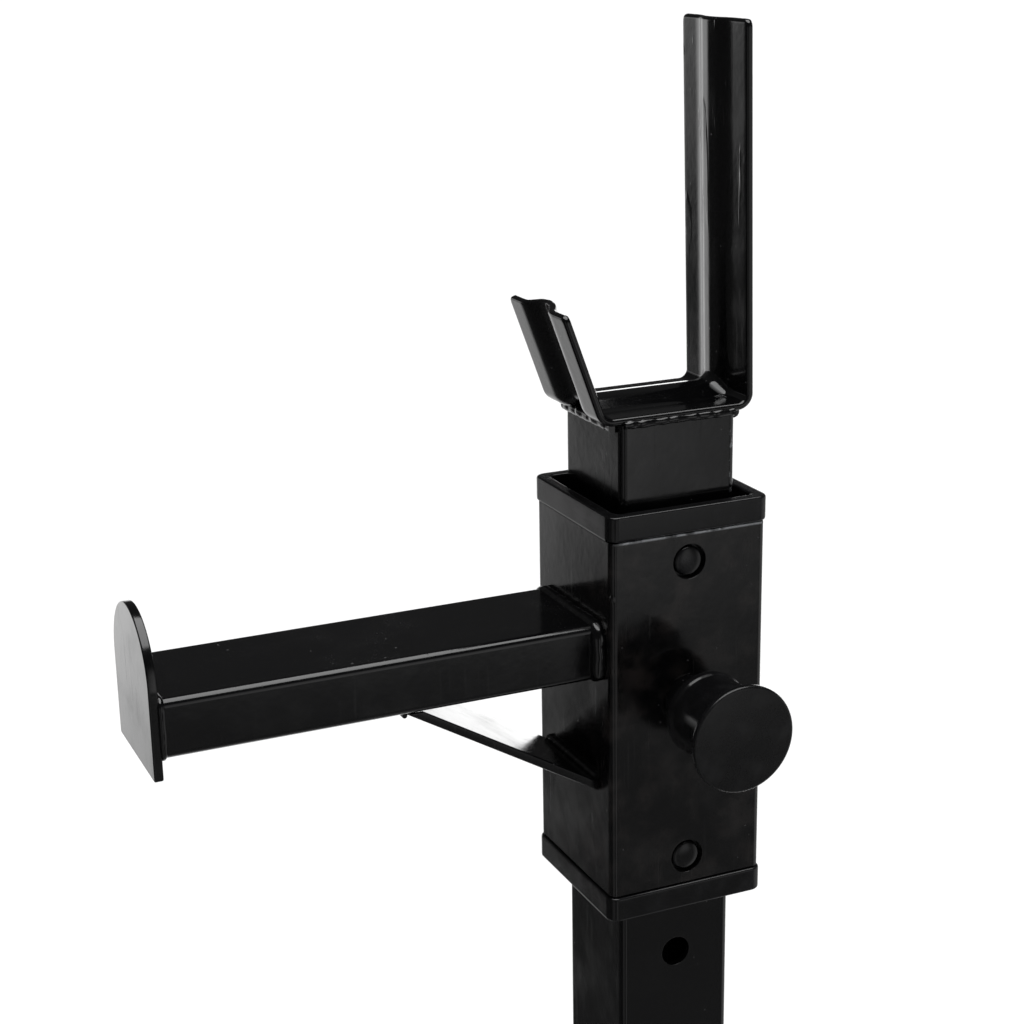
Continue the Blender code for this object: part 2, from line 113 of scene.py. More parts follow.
def new_finish(name):
    """A material with a fresh Principled shader, and its Object coordinates."""
    finish = bpy.data.materials.new(name)
    finish.use_nodes = True
    tree = finish.node_tree
    tree.nodes.clear()
    shader = add(tree, "ShaderNodeBsdfPrincipled")
    add(tree, "ShaderNodeOutputMaterial", {0: shader.outputs[0]})
    place = add(tree, "ShaderNodeTexCoord").outputs["Object"]
    return finish, tree, shader, place


print("1 mm features need a texture scale of", per_metre(1))

# %% [markdown]
# ## Gloss stoved enamel
#
# The tubes are sprayed with black enamel and baked. To the eye it is almost mirror-like: nearly
# all its light is reflection, so its own colour is close to black and its index is that of a hard
# resin, 1.5. What tells it from glass is the surface. The spray leaves a fine orange peel about
# 3 mm across, the rolled steel under it is faintly wavy, dust nibs are baked in, and handling
# leaves hairline scratches and a dull film in patches. On the wide flats of the sleeve that film
# is thick enough to lift the black to a warm grey haze. Chips at the rubbed corners show the
# steel beneath, so the finish takes an optional chip mask; on the sleeve the same mask paints a
# highlight, a bright steel-coloured line along the upper edge. The nibs are drawn a little
# coarser than the real 0.3 mm so that they show.

# %% Enamel finish
NIB_HEIGHT = 0.00006
RUN_HEIGHT = 0.00035
CHIP_DEPTH = 0.00012


def enamel(name, wave=0.00010, peel=0.000022, sheen=(0.10, 0.22), haze=0.0, chips_and_glint=None, runs=None):
    """Black enamel.

    wave, peel and the named depths are bump heights in metres. haze is the share of the warm grey
    film at its thickest. The chip mask and the runs are functions of the tree that return a mask.
    The chip mask paints steel colour, both at chipped spots and as a painted highlight line.
    """
    finish, tree, shader, place = new_finish(name)
    film = add(tree, "ShaderNodeTexNoise", {0: place, 2: per_metre(28), 3: 3.0, 4: 0.6}).outputs[0]
    nibs = add(tree, "ShaderNodeTexVoronoi", {0: place, 2: per_metre(7)}).outputs[0]
    nib = ramp(tree, nibs, 0.055, 0.03)
    stretch = add(tree, "ShaderNodeMapping", {0: place, 2: (0.5, 0.35, 0.9), 3: (1.0, 1.0, 0.03)}).outputs[0]
    hairs = add(tree, "ShaderNodeTexNoise", {0: stretch, 2: per_metre(1.1), 3: 1.0}).outputs[0]
    hair = ramp(tree, hairs, 0.66, 0.74)
    dust = ramp(tree, film, 0.50, 0.80, 0.0, 0.55)
    colour = blend(tree, dust, linear("#060607"), linear("#0d0d0e"))
    colour = blend(tree, math_of(tree, "MULTIPLY", nib, 0.6), colour, linear("#3a3a3c"))
    if haze:
        bloom = add(tree, "ShaderNodeTexNoise", {0: place, 2: per_metre(16), 3: 6.0, 4: 0.65}).outputs[0]
        bloom = ramp(tree, bloom, 0.44, 0.70, 0.0, haze)
        colour = blend(tree, bloom, colour, linear("#383331"))
    rough = ramp(tree, film, 0.35, 0.75, *sheen)
    rough = math_of(tree, "ADD", rough, math_of(tree, "MULTIPLY", hair, 0.10))
    ripple = add(tree, "ShaderNodeTexNoise", {0: place, 2: per_metre(60), 3: 1.0}).outputs[0]
    skin = add(tree, "ShaderNodeTexNoise", {0: place, 2: per_metre(3.2), 3: 1.5}).outputs[0]
    bump = add(tree, "ShaderNodeBump", {1: wave, 3: ripple}).outputs[0]
    bump = add(tree, "ShaderNodeBump", {1: peel, 3: skin, 4: bump}).outputs[0]
    bump = add(tree, "ShaderNodeBump", {1: NIB_HEIGHT, 3: nib, 4: bump}).outputs[0]
    if runs:
        bump = add(tree, "ShaderNodeBump", {1: RUN_HEIGHT, 3: runs(tree, place), 4: bump}).outputs[0]
    # Steel colour: chipped spots on the post, and a painted highlight line on the sleeve.
    if chips_and_glint:
        bare_and_glint = chips_and_glint(tree, place)
        colour = blend(tree, bare_and_glint, colour, linear("#b9bcc0"))
        rough = math_of(tree, "ADD", rough, math_of(tree, "MULTIPLY", bare_and_glint, 0.25))
        tree.links.new(math_of(tree, "MULTIPLY", bare_and_glint, 0.9), shader.inputs["Metallic"])
        depth = math_of(tree, "SUBTRACT", 1.0, bare_and_glint)
        bump = add(tree, "ShaderNodeBump", {1: CHIP_DEPTH, 3: depth, 4: bump}).outputs[0]
    tree.links.new(colour, shader.inputs["Base Color"])
    tree.links.new(rough, shader.inputs["Roughness"])
    tree.links.new(bump, shader.inputs["Normal"])
    shader.inputs["IOR"].default_value = 1.5
    return finish


print("paint runs stand", RUN_HEIGHT * 1000, "mm proud")

# %% Masks for chipped corners, a painted highlight line and paint runs
CORNER_REACH = 0.0030
FLAKE_SIZE = 1.6         # millimetres
FLAKE_COVER = 0.56       # the noise above this is chipped
RUNS_FROM = 0.045        # above the post, where the runs begin to show
RUNS_FULL = 0.13


def near_line(tree, place, axis, where, reach):
    """1 close to a plane across an axis, falling to 0 at reach."""
    away = math_of(tree, "ABSOLUTE", math_of(tree, "SUBTRACT", coordinate(tree, place, axis), where))
    return ramp(tree, away, 0.0, reach, 1.0, 0.0)


def corner_chips(x, y, low, high):
    """Chips along an upright corner at x, y, between two heights."""
    def mask(tree, place):
        """Flakes of noise, kept where all three distances are small."""
        near = math_of(tree, "MULTIPLY", near_line(tree, place, 0, x, CORNER_REACH),
                       near_line(tree, place, 1, y, CORNER_REACH))
        middle = (low + high) / 2
        span = near_line(tree, place, 2, middle, (high - low) * 0.62)
        flakes = add(tree, "ShaderNodeTexNoise", {0: place, 2: per_metre(FLAKE_SIZE), 3: 2.0}).outputs[0]
        broken = ramp(tree, flakes, FLAKE_COVER, FLAKE_COVER + 0.03)
        return math_of(tree, "MULTIPLY", broken, math_of(tree, "MULTIPLY", near, span))
    return mask


def painted_edge_glint(tree, place):
    """A painted highlight: a bright steel-coloured line along the sleeve's upper edge, on the knob's side."""
    edge = math_of(tree, "MULTIPLY", near_line(tree, place, 2, SLEEVE_TOP - 0.0004, 0.0009),
                   near_line(tree, place, 0, SLEEVE_SIDE, 0.0008))
    broken = add(tree, "ShaderNodeTexNoise", {0: place, 2: per_metre(6), 3: 3.0}).outputs[0]
    return math_of(tree, "MULTIPLY", edge, ramp(tree, broken, 0.34, 0.52, 0.1, 0.8))


def paint_runs(tree, place):
    """Long thin drips on the catch's tall leg: noise drawn out along Z."""
    drawn = add(tree, "ShaderNodeMapping", {0: place, 3: (1.0, 1.0, 0.16)}).outputs[0]
    drips = add(tree, "ShaderNodeTexNoise", {0: drawn, 2: per_metre(7), 3: 2.5, 8: 0.6}).outputs[0]
    upright = ramp(tree, coordinate(tree, place, 2), POST_TOP + RUNS_FROM, POST_TOP + RUNS_FULL)
    return math_of(tree, "MULTIPLY", ramp(tree, drips, 0.57, 0.70), upright)


POST_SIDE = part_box("post_tube")[1].x
POST_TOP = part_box("post_tube")[1].z
ENAMEL = enamel("gloss_stoved_enamel")
POST_ENAMEL = enamel(
    "gloss_stoved_enamel_rubbed_post",
    chips_and_glint=corner_chips(POST_SIDE - 0.0004, POST_SIDE - 0.0004, POST_TOP - 0.034, POST_TOP - 0.004))
CATCH_ENAMEL = enamel("gloss_stoved_enamel_with_runs", peel=0.00003, runs=paint_runs)
print("enamels:", ENAMEL.name, POST_ENAMEL.name, CATCH_ENAMEL.name)

# %% [markdown]
# ## Moulded nylon and the knob's plastic
#
# The bushes that guide the tubes and the caps on the feet are injection-moulded nylon. The mould
# is spark-eroded, which leaves a fine even grain, so nylon shows a broad, soft highlight where
# the enamel shows a sharp one. The knob is a harder moulding with a satin face, and its side and
# rear flange are polished by the hands that pull it. Both get their grain from noise of 0.8 mm,
# coarser than real so that it shows. The pads under the feet are rubber: the same tree, but dull.

# %% Plastic and rubber finishes
def moulding(name, dark, light, grain, height, rough, polished_below=None):
    """A moulded plastic with an even grain in millimetres; polished behind a plane across X if given."""
    finish, tree, shader, place = new_finish(name)
    scuffs = add(tree, "ShaderNodeTexNoise", {0: place, 2: per_metre(9), 3: 4.0, 4: 0.65}).outputs[0]
    colour = blend(tree, ramp(tree, scuffs, 0.45, 0.75), linear(dark), linear(light))
    grit = add(tree, "ShaderNodeTexNoise", {0: place, 2: per_metre(grain), 3: 2.0}).outputs[0]
    sink = add(tree, "ShaderNodeTexNoise", {0: place, 2: per_metre(22), 3: 0.0}).outputs[0]
    bump = add(tree, "ShaderNodeBump", {1: 0.00008, 3: sink}).outputs[0]
    bump = add(tree, "ShaderNodeBump", {1: height, 3: grit, 4: bump}).outputs[0]
    tree.links.new(colour, shader.inputs["Base Color"])
    texture = ramp(tree, scuffs, 0.35, 0.75, *rough)
    if polished_below:
        polish = ramp(tree, coordinate(tree, place, 0), polished_below - 0.0006, polished_below, 0.45, 1.0)
        texture = math_of(tree, "MULTIPLY", texture, polish)
    tree.links.new(texture, shader.inputs["Roughness"])
    tree.links.new(bump, shader.inputs["Normal"])
    shader.inputs["IOR"].default_value = 1.46
    shader.inputs["Specular IOR Level"].default_value = 0.4
    return finish


GRAIN = 0.8              # millimetres
GRAIN_HEIGHT = 0.000004
FACE_DEPTH = 0.0010
NYLON = moulding("spark_grained_nylon", "#0c0c0d", "#161618", GRAIN, GRAIN_HEIGHT, (0.18, 0.28))
KNOBS = {f"{prefix}_pin": moulding(
    f"satin_faced_{prefix}_knob_plastic", "#0c0c0d", "#151516", GRAIN, GRAIN_HEIGHT, (0.26, 0.34),
    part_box(f"{prefix}_pin_knob")[1].x - FACE_DEPTH) for prefix in ("sleeve", "column")}
RUBBER = moulding("moulded_rubber", "#161617", "#2a2a2b", 0.7, 0.00003, (0.72, 0.88))
print("mouldings:", NYLON.name, RUBBER.name, *[plastic.name for plastic in KNOBS.values()])

# %% [markdown]
# ## Zinc-plated steel
#
# The pins, springs, bolts and washers are bright zinc over steel. Plating follows every mark of
# the turned or rolled metal beneath, so the reflection is drawn out in fine lines and varies in
# sharpness. It is a full metal, and a metal keeps the default index.

# %% Zinc finish
def zinc():
    """Bright zinc plate over turned or rolled steel."""
    finish, tree, shader, place = new_finish("bright_zinc_plate")
    bloom = add(tree, "ShaderNodeTexNoise", {0: place, 2: per_metre(5), 3: 3.0}).outputs[0]
    lines = add(tree, "ShaderNodeTexNoise", {0: place, 2: per_metre(0.6), 3: 1.0}).outputs[0]
    colour = blend(tree, bloom, linear("#a9adb2"), linear("#c9ccd0"))
    tree.links.new(colour, shader.inputs["Base Color"])
    tree.links.new(ramp(tree, bloom, 0.3, 0.7, 0.22, 0.42), shader.inputs["Roughness"])
    bump = add(tree, "ShaderNodeBump", {1: 0.00002, 3: lines}).outputs[0]
    tree.links.new(bump, shader.inputs["Normal"])
    shader.inputs["Metallic"].default_value = 1.0
    return finish


ZINC = zinc()
print("metal:", ZINC.name)

# %% [markdown]
# ## From a mesh to a finished piece
#
# Every piece ends the same way. Edges sharper than a limit stay crisp and the rest are smoothed.
# A Weighted Normal modifier then lets the large flat faces win over their narrow rounded edges,
# so that a flat side reflects flat. Modifiers are evaluated into a plain mesh, and the piece is
# tied to its CAD body with the nodes it stands for. The helper also prints how far the piece's
# box is from the box of those nodes, as a check on its size.

# %% Finishing helpers
CREASE = math.radians(38)
EASE = 0.0005            # the radius that stoved paint leaves on a cut edge


def in_scene(name, data):
    """A new object with this data, linked to the scene."""
    thing = bpy.data.objects.new(name, data)
    bpy.context.scene.collection.objects.link(thing)
    return thing


def object_of(shape, name):
    """A mesh object from a bmesh, which is used up."""
    mesh = bpy.data.meshes.new(name)
    shape.to_mesh(mesh)
    shape.free()
    return in_scene(name, mesh)


def object_from(shape, name):
    """The same, with its doubles merged and its faces turned outwards."""
    bmesh.ops.remove_doubles(shape, verts=shape.verts, dist=0.000002)
    bmesh.ops.recalc_face_normals(shape, faces=shape.faces)
    return object_of(shape, name)


def object_from_points(name, points, edges=(), faces=()):
    """A mesh object from plain lists."""
    mesh = bpy.data.meshes.new(name)
    mesh.from_pydata(points, edges, faces)
    return in_scene(name, mesh)


def settle(thing):
    """Evaluate the modifiers into a plain mesh."""
    bpy.context.view_layer.update()
    seen = thing.evaluated_get(bpy.context.evaluated_depsgraph_get())
    mesh = bpy.data.meshes.new_from_object(seen)
    thing.modifiers.clear()
    thing.data = mesh
    return thing


def ease_edges(thing, width=EASE, segments=3):
    """Round the sharp edges by a real radius in metres, so that they catch the light."""
    edges = thing.modifiers.new("eased edges", "BEVEL")
    edges.width = width
    edges.segments = segments
    edges.limit_method = "ANGLE"
    edges.angle_limit = CREASE
    edges.use_clamp_overlap = True
    return settle(thing)


def flatten_shading(thing):
    """Smooth shading with creases, and normals that follow the large faces."""
    shape = bmesh.new()
    shape.from_mesh(thing.data)
    for face in shape.faces:
        face.smooth = True
    for edge in shape.edges:
        edge.smooth = edge.calc_face_angle(0.0) < CREASE
    shape.to_mesh(thing.data)
    shape.free()
    weigh = thing.modifiers.new("flat sides", "WEIGHTED_NORMAL")
    weigh.keep_sharp = True
    weigh.weight = 50
    return settle(thing)


def fit(thing, finish, body, slot, *nodes):
    """Give a piece its finish and tie it to the CAD body, in place of some nodes."""
    flatten_shading(thing)
    thing.data.materials.clear()
    thing.data.materials.append(finish)
    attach(thing, body)
    if nodes:
        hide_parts(*nodes)
        boxes = [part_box(node) for node in nodes]
        lows = [min(low[i] for low, high in boxes) for i in range(3)]
        highs = [max(high[i] for low, high in boxes) for i in range(3)]
        places = [vertex.co for vertex in thing.data.vertices]
        proud = max(max(lows[i] - min(p[i] for p in places), max(p[i] for p in places) - highs[i])
                    for i in range(3))
        thing.data.calc_loop_triangles()
        count = len(thing.data.loop_triangles)
        print(f"{thing.name}: {count} triangles, stands {proud * 1000:+.2f} mm beyond its CAD box")
    return thing


print("edges sharper than", round(math.degrees(CREASE)), "degrees stay crisp")

# %% [markdown]
# ## Square tube
#
# Welded square tube is a flat strip rolled into a section with rounded corners. It could be a cube
# with a Solidify and a Bevel, but a loft gives every radius directly: one closed outline after
# another is skinned, out along the outer wall, over a rounded cut end, and back along the inner
# wall. Bushes, caps and the flange are lofts of the same kind with other rows.

# %% Lofting rounded rectangles
CORNER_STEPS = 8
TUBE_CORNER = 0.003
TUBE_WALL = 0.003
THIN_WALL = 0.0025       # the column's and the arm's
TIGHTEST_INSIDE = 0.0006


def outline(half_x, half_y, radius, steps=CORNER_STEPS):
    """The corner arcs of a rounded rectangle round the origin, anticlockwise."""
    points = []
    for turn, (sx, sy) in enumerate(((1, 1), (-1, 1), (-1, -1), (1, -1))):
        for step in range(steps + 1):
            angle = (turn + step / steps) * math.pi / 2
            points.append((sx * (half_x - radius) + radius * math.cos(angle),
                           sy * (half_y - radius) + radius * math.sin(angle)))
    return points


ALONG = {"Z": lambda u, v, w: (u, v, w), "Y": lambda u, v, w: (u, w, v), "X": lambda u, v, w: (w, u, v)}


def loft(name, rows, axis="Z", centre=(0.0, 0.0), ring=True):
    """Skin rows of (half x, half y, corner radius, distance along the axis).

    ring joins the last row to the first, as in a tube; otherwise a face closes each end.
    """
    shape = bmesh.new()
    loops = []
    for half_x, half_y, radius, along in rows:
        points = outline(half_x, half_y, radius)
        loops.append([shape.verts.new(ALONG[axis](u + centre[0], v + centre[1], along)) for u, v in points])
    pairs = list(zip(loops, loops[1:]))
    if ring:
        pairs.append((loops[-1], loops[0]))
    else:
        shape.faces.new(loops[0])
        shape.faces.new(loops[-1])
    count = len(loops[0])
    for one, other in pairs:
        for i in range(count):
            following = (i + 1) % count
            shape.faces.new((one[i], one[following], other[following], other[i]))
    return object_from(shape, name)


def quarter(radius):
    """(inset, advance) along a quarter round, from the cut face to the side, in four steps."""
    angles = [step / 4 * math.pi / 2 for step in range(5)]
    return [(radius * (1 - math.sin(a)), radius * (1 - math.cos(a))) for a in angles]


def block_rows(half_x, half_y, corner, near, far, lip):
    """Rows along the outside of a bar from near to far, with both ends eased."""
    rows = [(half_x - inset, half_y - inset, corner - inset, near + rise) for inset, rise in quarter(lip)]
    rows += [(half_x - inset, half_y - inset, corner - inset, far - rise)
             for inset, rise in reversed(quarter(lip))]
    return rows


def tube_rows(half_x, half_y, wall, near, far, lip):
    """Rows round the wall of a tube with eased ends."""
    rows = block_rows(half_x, half_y, TUBE_CORNER, near, far, lip)
    inner = max(TUBE_CORNER - wall, TIGHTEST_INSIDE)
    small = 0.0003
    rows.append((half_x - wall + small, half_y - wall + small, inner, far))
    rows.append((half_x - wall, half_y - wall, inner, far - small))
    rows.append((half_x - wall, half_y - wall, inner, near + small))
    rows.append((half_x - wall + small, half_y - wall + small, inner, near))
    return rows


def tube(name, node, axis, wall, lip=EASE):
    """A square tube that fills the box of a CAD node."""
    low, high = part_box(node)
    u, v, w = {"Z": (0, 1, 2), "Y": (0, 2, 1), "X": (1, 2, 0)}[axis]
    half = [(high[i] - low[i]) / 2 for i in range(3)]
    middle = [(high[i] + low[i]) / 2 for i in range(3)]
    rows = tube_rows(half[u], half[v], wall, low[w], high[w], lip)
    return loft(name, rows, axis, (middle[u], middle[v]))


print("one tube outline has", len(outline(0.025, 0.025, TUBE_CORNER)), "points")

# %% [markdown]
# ## Holes by the row
#
# The post is punched every 58 mm. A row of equal holes is a job for Geometry Nodes: a line of
# points, a drill placed on each, and one Boolean that cuts them all. The pitch, the number and
# the radius are named inputs, so the same tree also cuts the single pin holes of the sleeve and
# the column, and the sleeve's snap holes. Each rim is eased afterwards, as paint rounds an edge.

# %% Punching tree
def new_tree(name, sockets):
    """A Geometry Nodes tree with named inputs. Returns it with its input node and the identifiers."""
    tree = bpy.data.node_groups.new(name, "GeometryNodeTree")
    tree.interface.new_socket("Geometry", in_out="INPUT", socket_type="NodeSocketGeometry")
    names = {}
    for label, kind in sockets:
        made = tree.interface.new_socket(label, in_out="INPUT", socket_type=f"NodeSocket{kind}")
        names[label] = made.identifier
    tree.interface.new_socket("Geometry", in_out="OUTPUT", socket_type="NodeSocketGeometry")
    return tree, add(tree, "NodeGroupInput").outputs, names


def end_tree(tree, geometry, material):
    """Close a tree: real geometry, with its finish."""
    real = add(tree, "GeometryNodeRealizeInstances", {0: geometry}).outputs[0]
    dressed = add(tree, "GeometryNodeSetMaterial", {"Geometry": real, "Material": material}).outputs[0]
    add(tree, "NodeGroupOutput", {0: dressed})


def grow(thing, tree, names, values):
    """Run a tree on an object and keep the result as its plain mesh."""
    nodes = thing.modifiers.new(tree.name, "NODES")
    nodes.node_group = tree
    for label, value in values.items():
        nodes[names[label]] = value
    return settle(thing)


def make_punch_tree():
    """Cut a row of round holes across X."""
    sockets = [("First hole", "Vector"), ("Pitch", "Vector"), ("Count", "Int"), ("Radius", "Float"),
               ("Depth", "Float"), ("Finish", "Material")]
    tree, given, names = new_tree("punched holes", sockets)
    line = add(tree, "GeometryNodeMeshLine", {"Count": given["Count"], "Start Location": given["First hole"],
                                              "Offset": given["Pitch"]}).outputs[0]
    drill = add(tree, "GeometryNodeMeshCylinder",
                {"Vertices": 48, "Radius": given["Radius"], "Depth": given["Depth"]}).outputs[0]
    turn = add(tree, "FunctionNodeEulerToRotation", {0: (0.0, math.pi / 2, 0.0)}).outputs[0]
    drills = add(tree, "GeometryNodeInstanceOnPoints",
                 {"Points": line, "Instance": drill, "Rotation": turn}).outputs[0]
    solid = add(tree, "GeometryNodeRealizeInstances", {0: drills}).outputs[0]
    cut = add(tree, "GeometryNodeMeshBoolean", {0: given["Geometry"], 1: solid},
              operation="DIFFERENCE", solver="EXACT").outputs[0]
    end_tree(tree, cut, given["Finish"])
    return tree, names


PUNCH = make_punch_tree()
DRILL_DEPTH = 0.012


def punch(thing, first, radius, finish, pitch=(0, 0, 0), count=1):
    """Punch a row of holes of a radius, from the first one's centre."""
    values = {"First hole": first, "Pitch": pitch, "Count": count, "Radius": radius, "Depth": DRILL_DEPTH,
              "Finish": finish}
    return grow(thing, *PUNCH, values)


print("punching inputs:", ", ".join(PUNCH[1]))

# %% [markdown]
# ## Turned and joined shapes
#
# Round parts are a profile spun round an axis: knobs, housings, studs, and the drops of paint on
# the sleeve. A second helper rounds the corners of any profile, and a third joins several shapes
# into one mesh where the real part is one moulding.

# %% Turning
def turned(name, profile, origin, axis, steps, ring=False):
    """Turn (radius, height) points round an axis in steps. A radius of 0 closes to a pole."""
    shape = bmesh.new()
    loops = []
    for radius, height in profile:
        if radius == 0:
            loops.append([shape.verts.new((0, 0, height))])
            continue
        angles = [2 * math.pi * i / steps for i in range(steps)]
        loops.append([shape.verts.new((radius * math.cos(a), radius * math.sin(a), height)) for a in angles])
    pairs = list(zip(loops, loops[1:])) + ([(loops[-1], loops[0])] if ring else [])
    for one, other in pairs:
        for i in range(steps):
            j = (i + 1) % steps
            if len(one) == 1:
                shape.faces.new((one[0], other[i], other[j]))
            elif len(other) == 1:
                shape.faces.new((one[i], one[j], other[0]))
            else:
                shape.faces.new((one[i], one[j], other[j], other[i]))
    turn = {"X": Matrix.Rotation(math.pi / 2, 4, "Y"), "-X": Matrix.Rotation(-math.pi / 2, 4, "Y"),
            "Z": Matrix()}[axis]
    bmesh.ops.transform(shape, matrix=Matrix.Translation(origin) @ turn, verts=shape.verts)
    return object_from(shape, name)


NEARLY_STRAIGHT = math.radians(172)
SHORTEST_SIDE = 0.0001


def softened(points, radius, steps=4, ring=False):
    """Round the corners of a line of points, each by the radius or by what its sides allow."""
    out = []
    count = len(points)
    for i, point in enumerate(points):
        if not ring and i in (0, count - 1):
            out.append(point)
            continue
        here = Vector(point)
        back = Vector(points[i - 1]) - here
        ahead = Vector(points[(i + 1) % count]) - here
        corner = back.angle(ahead)
        if corner > NEARLY_STRAIGHT or min(back.length, ahead.length) < SHORTEST_SIDE:
            out.append(point)
            continue
        trim = min(radius / math.tan(corner / 2), back.length * 0.45, ahead.length * 0.45)
        start = here + back.normalized() * trim
        stop = here + ahead.normalized() * trim
        for step in range(steps + 1):
            share = step / steps
            curve = start * (1 - share) ** 2 + here * 2 * share * (1 - share) + stop * share ** 2
            out.append(tuple(curve))
    return out


def joined(name, *things):
    """Join objects into one mesh."""
    shape = bmesh.new()
    for thing in things:
        shape.from_mesh(thing.data)
        bpy.data.objects.remove(thing)
    return object_of(shape, name)


print("a softened square has", len(softened([(0, 0), (1, 0), (1, 1), (0, 1)], 0.1, ring=True)), "points")

# %% [markdown]
# ## The post
#
# The post is 50 mm tube with a 3 mm wall. Only the side that faces the knobs is punched. Its
# enamel has chips along the back corner under the catch, where a dropped bar rubs.

# %% Post
PIN_HOLE = 0.0063
HOLE_PITCH = 0.058
HOLE_COUNT = 14
pin_low, pin_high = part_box("sleeve_pin_boss")
PIN_HEIGHT = (pin_low.z + pin_high.z) / 2

post = tube("post", "post_tube", "Z", TUBE_WALL)
punch(post, (POST_SIDE, 0, PIN_HEIGHT), PIN_HOLE, POST_ENAMEL, (0, 0, -HOLE_PITCH), HOLE_COUNT)
ease_edges(post)
fit(post, POST_ENAMEL, "post", "black_paint", "post_tube")

# %% [markdown]
# ## The bar catch
#
# The catch is one 3 mm strip, pressed with a raised rib along its middle and then bent into an
# unequal U. A sheet with a thickness is the natural model: the rib's cross-section is carried
# along the bent side profile, which gives an open skin halfway through the plate, and Solidify
# adds the plate evenly to both sides. A vertex group thins it near the edges, which rounds them
# over as thick paint does. The rib's flanks are softened by averaging the pressed shape over a
# couple of millimetres, as sheet never takes a sharp crease.

# %% Catch profile
PLATE = 0.003
CATCH_HALF = 0.025
CATCH_HEIGHT = 0.148
CATCH_BACK = 0.0322
CATCH_LEAN = math.radians(1.2)
LIP_LENGTH = 0.0466
LIP_LEAN = math.radians(20)
LIP_ROOT_Y = -0.0331
FRONT_BEND = 0.0075
BACK_BEND = 0.0055
TIGHTEST_BEND = 0.0045
BEND_STEPS = 12
RIB_DEPTH = 0.0045
RIB_SOFTNESS = 0.0009
RIB_SAMPLES = 7
LEG_PRESS = 0.58         # the rib's depth on the tall leg, as a share of its depth on the lip
TIP_ROUND = 0.003        # corner radius of both tips, in the plane of the plate
TIP_STEPS = 8
RIM_ROUND = 0.0013       # how far in from its edges the plate is rounded over
THINNEST_RIM = 0.15
RIB_SHAPE = [(0.0, 1.0), (0.0006, 0.99), (0.0048, 0.82), (0.0102, 0.13), (0.0122, 0.03), (0.0140, 0.0),
             (CATCH_HALF, 0.0)]


def pressed(x):
    """Height of the rib at a distance from the middle, as a share of its depth."""
    x = min(abs(x), CATCH_HALF)
    for (x0, h0), (x1, h1) in zip(RIB_SHAPE, RIB_SHAPE[1:]):
        if x <= x1:
            return h0 + (h1 - h0) * (x - x0) / (x1 - x0)
    return 0.0


def rib(x):
    """The rib's height in metres: the pressed shape averaged over a little width."""
    offsets = [RIB_SOFTNESS * (2 * i / (RIB_SAMPLES - 1) - 1) for i in range(RIB_SAMPLES)]
    return RIB_DEPTH * sum(pressed(x + offset) for offset in offsets) / RIB_SAMPLES


def spread(start, stop, count):
    """Evenly spaced values from start, without stop itself."""
    return [start + (stop - start) * i / count for i in range(count)]


def bend(centre, radius, start, stop):
    """Points along an arc between two angles."""
    angles = [start + (stop - start) * step / BEND_STEPS for step in range(BEND_STEPS + 1)]
    return [(centre[0] + radius * math.cos(a), centre[1] + radius * math.sin(a)) for a in angles]


def catch_line(lift):
    """Side profile (y, z) of the outer skin, from the lip's tip to the tall leg's tip, raised by lift."""
    rounds = [TIP_ROUND * (1 - math.cos(step / TIP_STEPS * math.pi / 2)) for step in range(TIP_STEPS)]
    radius = max(FRONT_BEND - lift, TIGHTEST_BEND)
    rise = lift + radius
    centre = (LIP_ROOT_Y + rise * (1 - math.sin(LIP_LEAN)) / math.cos(LIP_LEAN), rise)
    along = Vector((-math.sin(LIP_LEAN), math.cos(LIP_LEAN)))
    inward = Vector((math.cos(LIP_LEAN), math.sin(LIP_LEAN)))
    root = Vector((LIP_ROOT_Y, 0)) + lift * inward
    foot = (Vector(centre) - radius * inward - root).dot(along)
    reaches = [LIP_LENGTH - back for back in rounds] + spread(LIP_LENGTH - TIP_ROUND, foot, 12)
    points = [tuple(root + reach * along) for reach in reaches]
    points += bend(centre, radius, math.pi + LIP_LEAN, 1.5 * math.pi)
    radius = max(BACK_BEND - lift, TIGHTEST_BEND)
    back_centre = (CATCH_BACK - lift - radius, lift + radius)
    points += [(y, lift) for y in spread(centre[0], back_centre[0], 10)[1:]]
    eased = lift * (1 - LEG_PRESS)
    turned_up = bend(back_centre, radius, -math.pi / 2, 0)
    last = len(turned_up) - 1
    points += [(y + eased * step / last, z) for step, (y, z) in enumerate(turned_up)]
    heights = spread(back_centre[1], CATCH_HEIGHT - TIP_ROUND, 30)[1:]
    heights += [CATCH_HEIGHT - back for back in [TIP_ROUND] + rounds[::-1]]
    lean = math.tan(CATCH_LEAN)
    back = CATCH_BACK - lift + eased
    return points + [(back - (height - back_centre[1]) * lean, height) for height in heights]


print("the catch's side profile has", len(catch_line(0.0)), "stations")

# %% Catch plate
def catch_columns():
    """Where the cross-section is sampled: close together on the rib, wide on the flats."""
    half = [i * 0.0005 for i in range(31)] + [0.0165, 0.0185, 0.0205, 0.0222, 0.0237, 0.0241, 0.0245, 0.0248]
    half += [0.02494, CATCH_HALF]
    return [-x for x in reversed(half[1:])] + half


def rim_share(x, from_tip):
    """Share of the plate's thickness that is left near its edges, which are rounded over."""
    inward = min(CATCH_HALF - abs(x), from_tip) / RIM_ROUND
    return 1.0 if inward >= 1 else max(THINNEST_RIM, math.sqrt(1 - (1 - inward) ** 2))


